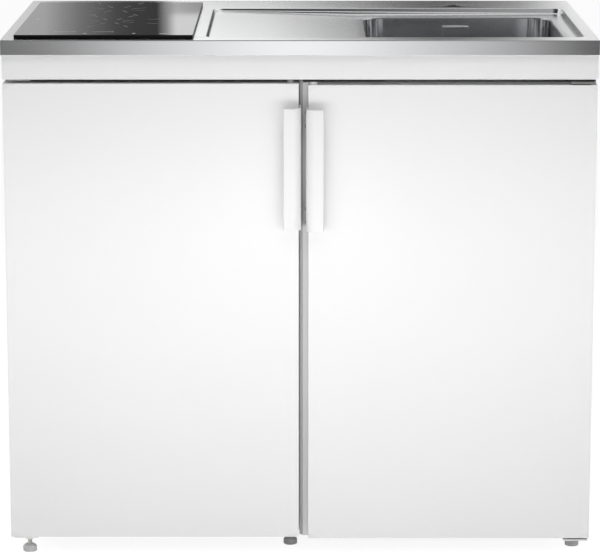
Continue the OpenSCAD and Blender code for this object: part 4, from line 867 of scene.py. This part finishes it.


# ---- Joint strip between the fridge and the cabinet ----
# A grey plastic profile pushed into the slot between the two cases. Its wider head closes the
# slot in front, between the doors, where the photograph shows a light grey line. The strip is
# partly a real joint that closes the slot, and its mid grey is partly painted shade: it stands in
# for the shade in the slot between the doors.
JOINT_PLAY, STEM_D, JOINT_SHORT, JOINT_HEAD_T = 0.0002, 0.028, 0.004, 0.0018
JOINT_HEAD_X, FINE_R = (-0.0009, 0.0046), 0.0006
# Painted shade: the strip's mid grey stands in for the shade in the slot between the doors
joint_shade_plastic = moulded("joint_shade_plastic", (0.44, 0.44, 0.45), (0.50, 0.50, 0.51), 0.5)
case_high, side_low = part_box("fridge_case")[1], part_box("cabinet_side_left")[0]
stem = (case_high.x + JOINT_PLAY, side_low.x - JOINT_PLAY)
stem_x = (stem[0] + stem[1]) / 2
builder = bmesh.new()
bmesh.ops.create_cube(
    builder, size=1,
    matrix=Matrix.Translation(
        (stem_x, side_low.y + STEM_D / 2, (side_low.z + case_high.z) / 2)
    )
    @ Matrix.Diagonal(
        (stem[1] - stem[0], STEM_D, case_high.z - side_low.z - JOINT_SHORT, 1)
    ),
)
head = [min(builder.faces, key=lambda face: face.calc_center_median().y)]
bmesh.ops.translate(builder, vec=(0, -JOINT_PLAY, 0), verts=head[0].verts)
head = bmesh.ops.extrude_discrete_faces(builder, faces=head)["faces"]
for vert in head[0].verts:
    vert.co.x = JOINT_HEAD_X[0] if vert.co.x < stem_x else JOINT_HEAD_X[1]
head = bmesh.ops.extrude_discrete_faces(builder, faces=head)["faces"]
bmesh.ops.translate(builder, vec=(0, -JOINT_HEAD_T, 0), verts=head[0].verts)
bmesh.ops.remove_doubles(builder, verts=builder.verts, dist=1e-6)
bmesh.ops.recalc_face_normals(builder, faces=builder.faces)
round_edges(builder, FINE_R, 2)
joint_strip_painted_shade = new_piece("joint_strip_painted_shade", builder, joint_shade_plastic)
soften(joint_strip_painted_shade)
place_piece(joint_strip_painted_shade, "unit", "grey_plastic")


# ---- Fridge liner, shelves and clear boxes ----
# A thin white plastic skin lines the case and the door. The shelves are glass, and the
# boxes, racks and freezer flap are clear plastic.
def clear(name, colour, alpha, rough):
    """Clear plastic or glass, with a faint cloudiness."""
    pane = Finish(name)
    haze = pane.noise((30, 30, 30), 2)
    return pane.surface(
        Base_Color=pane.mix(haze, colour, tuple(min(1, c * 1.05) for c in colour)),
        Roughness=haze * 0.04 + rough,
        Alpha=haze * 0.06 + alpha,
        IOR=1.5,
    )


liner_white = moulded("liner_plastic", (0.86, 0.87, 0.87), (0.90, 0.90, 0.90), 0.25, 300)
clear_plastic = clear("clear_plastic", (0.82, 0.88, 0.90), 0.24, 0.08)
shelf_glass = clear("shelf_glass", (0.72, 0.84, 0.80), 0.26, 0.03)
paint(liner_white, "fridge_liner")
rounded("fridge_door_liner", 0.003, liner_white, "fridge_door", "inner_plastic")
rounded("thermostat_housing", 0.0015, liner_white, "unit", "inner_plastic")
for node, body in (
    ("freezer_flap", "freezer_flap"), ("crisper_drawer", "crisper_drawer"),
    ("door_racks", "fridge_door"), ("bottle_rack", "fridge_door"),
):
    rounded(node, EASED_R, clear_plastic, body, "clear_plastic", 2)
for node in ("glass_shelves", "crisper_cover"):
    rounded(node, EASED_R, shelf_glass, "unit", "shelf_glass", 2)


# ---- Shelf trims ----
# White plastic strips snapped over the front edges of the two shelves and of the crisper's
# cover.
TRIM_WALL, TRIM_D, TRIM_IN = 0.0015, 0.012, 0.004
shelf_low, shelf_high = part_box("glass_shelves")
cover_low, cover_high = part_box("crisper_cover")
shelf_t = cover_high.z - cover_low.z
builder = bmesh.new()
for level in (cover_high.z, shelf_low.z + shelf_t, shelf_high.z):
    low = Vector((shelf_low.x + TRIM_IN, shelf_low.y - TRIM_WALL, level - shelf_t - TRIM_WALL))
    high = Vector((shelf_high.x - TRIM_IN, shelf_low.y + TRIM_D, level + TRIM_WALL))
    made = bmesh.ops.create_cube(
        builder, size=1,
        matrix=Matrix.Translation((low + high) / 2) @ Matrix.Diagonal((*(high - low), 1)),
    )["verts"]
    rear = max(
        {face for vert in made for face in vert.link_faces},
        key=lambda face: face.calc_center_median().y,
    )
    bmesh.ops.inset_region(builder, faces=[rear], thickness=TRIM_WALL)
    for vert in rear.verts:
        vert.co.x = low.x if vert.co.x < (low.x + high.x) / 2 else high.x
    bmesh.ops.translate(builder, vec=(0, -TRIM_D, 0), verts=rear.verts)
bmesh.ops.delete(
    builder, geom=[face for face in builder.faces if face.calc_area() < 1e-9],
    context="FACES",
)
bmesh.ops.remove_doubles(builder, verts=builder.verts, dist=1e-6)
bmesh.ops.recalc_face_normals(builder, faces=builder.faces)
round_edges(builder, FINE_R, 2)
trims = new_piece("shelf_trims", builder, liner_white)
soften(trims)
place_piece(trims, "unit", "white_plastic")


# ---- Foam and freezer box ----
# Yellowish foam fills the case and the door. The freezer box is rolled aluminium with a
# grain across its width.
foam_finish = moulded("insulation_foam", (0.80, 0.72, 0.50), (0.88, 0.81, 0.60), 0.9, 500, 0.0002)
paint(foam_finish, "fridge_insulation", "fridge_door_foam")
aluminium = Finish("freezer_aluminium")
shade = aluminium.noise((200, 20, 20), 3)
paint(
    aluminium.surface(
        Base_Color=aluminium.mix(shade, (0.76, 0.77, 0.78), (0.84, 0.85, 0.86)),
        Metallic=1.0,
        Roughness=shade * 0.12 + 0.3,
    ),
    "freezer_box",
)


# ---- Thermostat knob ----
# A grey plastic knob on the side of its housing, with grip ribs all round.
KNOB_R, KNOB_RIBS, KNOB_RIB_R, KNOB_FOOT, KNOB_FACE = 0.014, 18, 0.0009, 0.004, 0.0005
grey_plastic = moulded("grey_plastic", (0.40, 0.41, 0.42), (0.46, 0.47, 0.48), 0.45)
knob_low, knob_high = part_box("thermostat_knob")
builder = copied("thermostat_knob")
round_edges(builder, FINE_R, 2)
grips = bmesh.new()
ribs_low, ribs_high = knob_low.x + KNOB_FOOT, knob_high.x - KNOB_FACE
ribs(grips, (0, 0), KNOB_R, ribs_low, ribs_high, KNOB_RIBS, KNOB_RIB_R)
knob_middle = Vector((0, (knob_low.y + knob_high.y) / 2, (knob_low.z + knob_high.z) / 2))
bmesh.ops.transform(
    grips, matrix=Matrix.Translation(knob_middle) @ Matrix.Rotation(math.pi / 2, 4, "Y"),
    verts=grips.verts,
)
grip_mesh = bpy.data.meshes.new("knob_grips")
grips.to_mesh(grip_mesh)
grips.free()
builder.from_mesh(grip_mesh)
bpy.data.meshes.remove(grip_mesh)
knob = new_piece("thermostat_knob_formed", builder, grey_plastic)
soften(knob)
place_piece(knob, "thermostat_knob", "grey_plastic", "thermostat_knob")


# ---- Door gasket ----
# A soft magnetic seal clipped to the door's inner skin: a flat band that carries the
# magnet, on bellows that let it reach the case.
SEAL_R, SEAL_W = 0.008, 0.0105
SEAL_OUTSIDE = (
    (-0.0001, 0.10), (-0.0016, 0.26), (-0.0022, 0.42), (-0.0008, 0.60), (-0.0008, 0.86),
    (-0.0018, 1.0),
)
SEAL_INSIDE = (
    (-0.0018, 1.0), (-0.0028, 0.86), (-0.0028, 0.60), (-0.0012, 0.42), (-0.0016, 0.26),
    (-0.0032, 0.10), (-0.0034, 0),
)
rubber = moulded("gasket_rubber", (0.62, 0.62, 0.62), (0.68, 0.68, 0.68), 0.7, 400)
seal_low, seal_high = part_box("door_gasket")
flat_low = Vector((seal_low.x, seal_low.z, 0))
flat_high = Vector((seal_high.x, seal_high.z, 0))
seal_depth = seal_high.y - seal_low.y
core = inset((flat_low, flat_high), SEAL_R)
builder = bmesh.new()
first = ring(builder, flat_low, flat_high, SEAL_R, 0)
steps = [(0, SEAL_R + grow, level) for grow, level in SEAL_OUTSIDE]
steps += [
    (0 if number else SEAL_W, SEAL_R + grow, level)
    for number, (grow, level) in enumerate(SEAL_INSIDE)
]
last = press(builder, first, *core, steps, lambda x, level: level * seal_depth)
bmesh.ops.bridge_loops(builder, edges=first + last)
swap_y_and_z = Matrix(((1, 0, 0, 0), (0, 0, 1, 0), (0, 1, 0, 0), (0, 0, 0, 1)))
bmesh.ops.transform(
    builder, matrix=Matrix.Translation((0, seal_low.y, 0)) @ swap_y_and_z,
    verts=builder.verts,
)
bmesh.ops.recalc_face_normals(builder, faces=builder.faces)
seal = new_piece("bellows_gasket", builder, rubber)
soften(seal)
place_piece(seal, "fridge_door", "gasket_rubber", "door_gasket")


# ---- Back of the fridge ----
# The compressor, which stands in the lower rear recess of the case, and the wire
# condenser, which hangs on the back panel, carry a thin black stove enamel.
enamel = moulded("black_enamel", (0.018, 0.018, 0.018), (0.03, 0.03, 0.03), 0.4, 500)
paint(enamel, "compressor", "condenser")


# ---- Plastic caps and handles ----
# White moulded plastic, a shade greyer than the lacquer. The caps close the doors' ends and
# the handles are screwed to the doors' edges.
HANDLE_EDGE_R = 0.0016
white_plastic = moulded("white_plastic", (0.84, 0.84, 0.84), (0.87, 0.87, 0.87), 0.35)
paint(white_plastic, "magnet_catch")
for side in ("fridge", "cabinet"):
    for end in ("top", "bottom"):
        rounded(f"{side}_door_cap_{end}", BEND_R, white_plastic, side + "_door", "white_plastic")
for side in ("fridge", "cabinet"):
    rounded(side + "_handle", HANDLE_EDGE_R, white_plastic, side + "_door", "white_plastic")


# ---- Screws of the handles ----
# Two steel screws hold each foot of a handle to the door's edge. Their heads are low and
# round, with a cross.
def screw_head(builder, place, way, radius, height):
    """A round screw head with a cross, its top facing along way."""
    turn = way.to_track_quat("Z", "X").to_matrix().to_4x4()
    made = bmesh.ops.create_cone(
        builder, cap_ends=True, segments=24, radius1=radius, radius2=radius * 0.94,
        depth=height, matrix=Matrix.Translation(place + way * height / 2) @ turn,
    )["verts"]
    faces = {face for vert in made for face in vert.link_faces}
    top = max(faces, key=lambda face: (face.calc_center_median() - place).dot(way))
    bmesh.ops.bevel(
        builder, geom=list(top.edges), offset=height * 0.5, offset_type="OFFSET",
        affect="EDGES", segments=3, profile=0.5, material=-1,
    )
    for width, length in ((0.16, 0.95), (0.95, 0.16)):
        bmesh.ops.create_cube(
            builder, size=radius,
            matrix=Matrix.Translation(place + way * (height + 0.00002)) @ turn
            @ Matrix.Diagonal((width, length, 0.02, 1)),
        )


screw_steel = plated("screw_steel", (0.42, 0.42, 0.43), (0.52, 0.52, 0.53), 0.3)
HEAD_R, HEAD_H, SCREW_IN, SCREW_ENDS = 0.0035, 0.0016, 0.011, (0.010, 0.033)
for node, body, side in (
    ("fridge_handle", "fridge_door", 1), ("cabinet_handle", "cabinet_door", -1)
):
    low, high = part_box(node)
    face_x = high.x if side > 0 else low.x
    builder = bmesh.new()
    for z in [high.z - end for end in SCREW_ENDS] + [low.z + end for end in SCREW_ENDS]:
        place = Vector((face_x, high.y - SCREW_IN, z))
        screw_head(builder, place, Vector((side, 0, 0)), HEAD_R, HEAD_H)
    screws = new_piece(node + "_screws", builder, screw_steel)
    soften(screws)
    place_piece(screws, body, "zinc_plated")


# ---- Hinges and feet ----
# The hinges are zinc-plated steel plates with their pins. Each foot is a grey plastic disc,
# notched for the fingers that turn it, on a zinc-plated screw.
for node in (
    "fridge_hinge_upper", "fridge_hinge_lower", "cabinet_hinge_upper", "cabinet_hinge_lower"
):
    rounded(node, EASED_R, zinc, "unit", "zinc_plated", 2)
DISC_H, DISC_R, SCREW_R, THREAD, PITCH = 0.012, 0.012, 0.004, 0.0004, 0.00125
SCREW_HIDDEN, SCREW_SHORT = 0.0008, 0.0002
NOTCHES, NOTCH_D, NOTCH_LOW, NOTCH_HIGH = 12, 0.0009, 0.001, 0.0085
UP = Vector((0, 0, 1))
disc = (
    (0, DISC_R - 0.0012), (0.0004, DISC_R - 0.0004), (0.0012, DISC_R), (0.0078, DISC_R),
    (0.0088, DISC_R - 0.0005), (0.0112, DISC_R - 0.0029), (DISC_H, DISC_R - 0.0040),
    (DISC_H, SCREW_R + 0.0012), (DISC_H - 0.0006, SCREW_R + 0.0004),
)
foot_plastic = moulded("foot_plastic", (0.60, 0.60, 0.61), (0.67, 0.67, 0.68), 0.5)
paint(foot_plastic, "fridge_rear_glides")
for node in (name for name in cad if name.startswith("foot_")):
    low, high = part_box(node)
    middle = Vector(((low.x + high.x) / 2, (low.y + high.y) / 2, 0))
    builder = bmesh.new()
    tube(builder, [(middle + UP * z, UP, radius) for z, radius in disc], 48)
    for vert in builder.verts:
        out = vert.co - middle
        turn = math.atan2(out.y, out.x)
        if NOTCH_LOW < vert.co.z < NOTCH_HIGH and math.cos(NOTCHES * turn) < -0.5:
            vert.co -= Vector((out.x, out.y, 0)).normalized() * NOTCH_D
    threads = [(middle + UP * (DISC_H - SCREW_HIDDEN), UP, SCREW_R)]
    turns = int((high.z - DISC_H) / PITCH)
    for number in range(turns):
        z = DISC_H + PITCH * (number + 0.25)
        threads.append((middle + UP * z, UP, SCREW_R))
        threads.append((middle + UP * (z + PITCH / 2), UP, SCREW_R - THREAD))
    threads.append((middle + UP * (high.z - SCREW_SHORT), UP, SCREW_R - THREAD))
    tube(builder, threads, 32)
    foot = new_piece(node + "_formed", builder, foot_plastic)
    foot.data.materials.append(zinc)
    for face in foot.data.polygons:
        near = Vector((face.center.x, face.center.y, 0)) - middle
        face.material_index = 1 if near.length < SCREW_R and face.center.z > DISC_H else 0
    soften(foot)
    place_piece(foot, node, "grey_plastic", node)
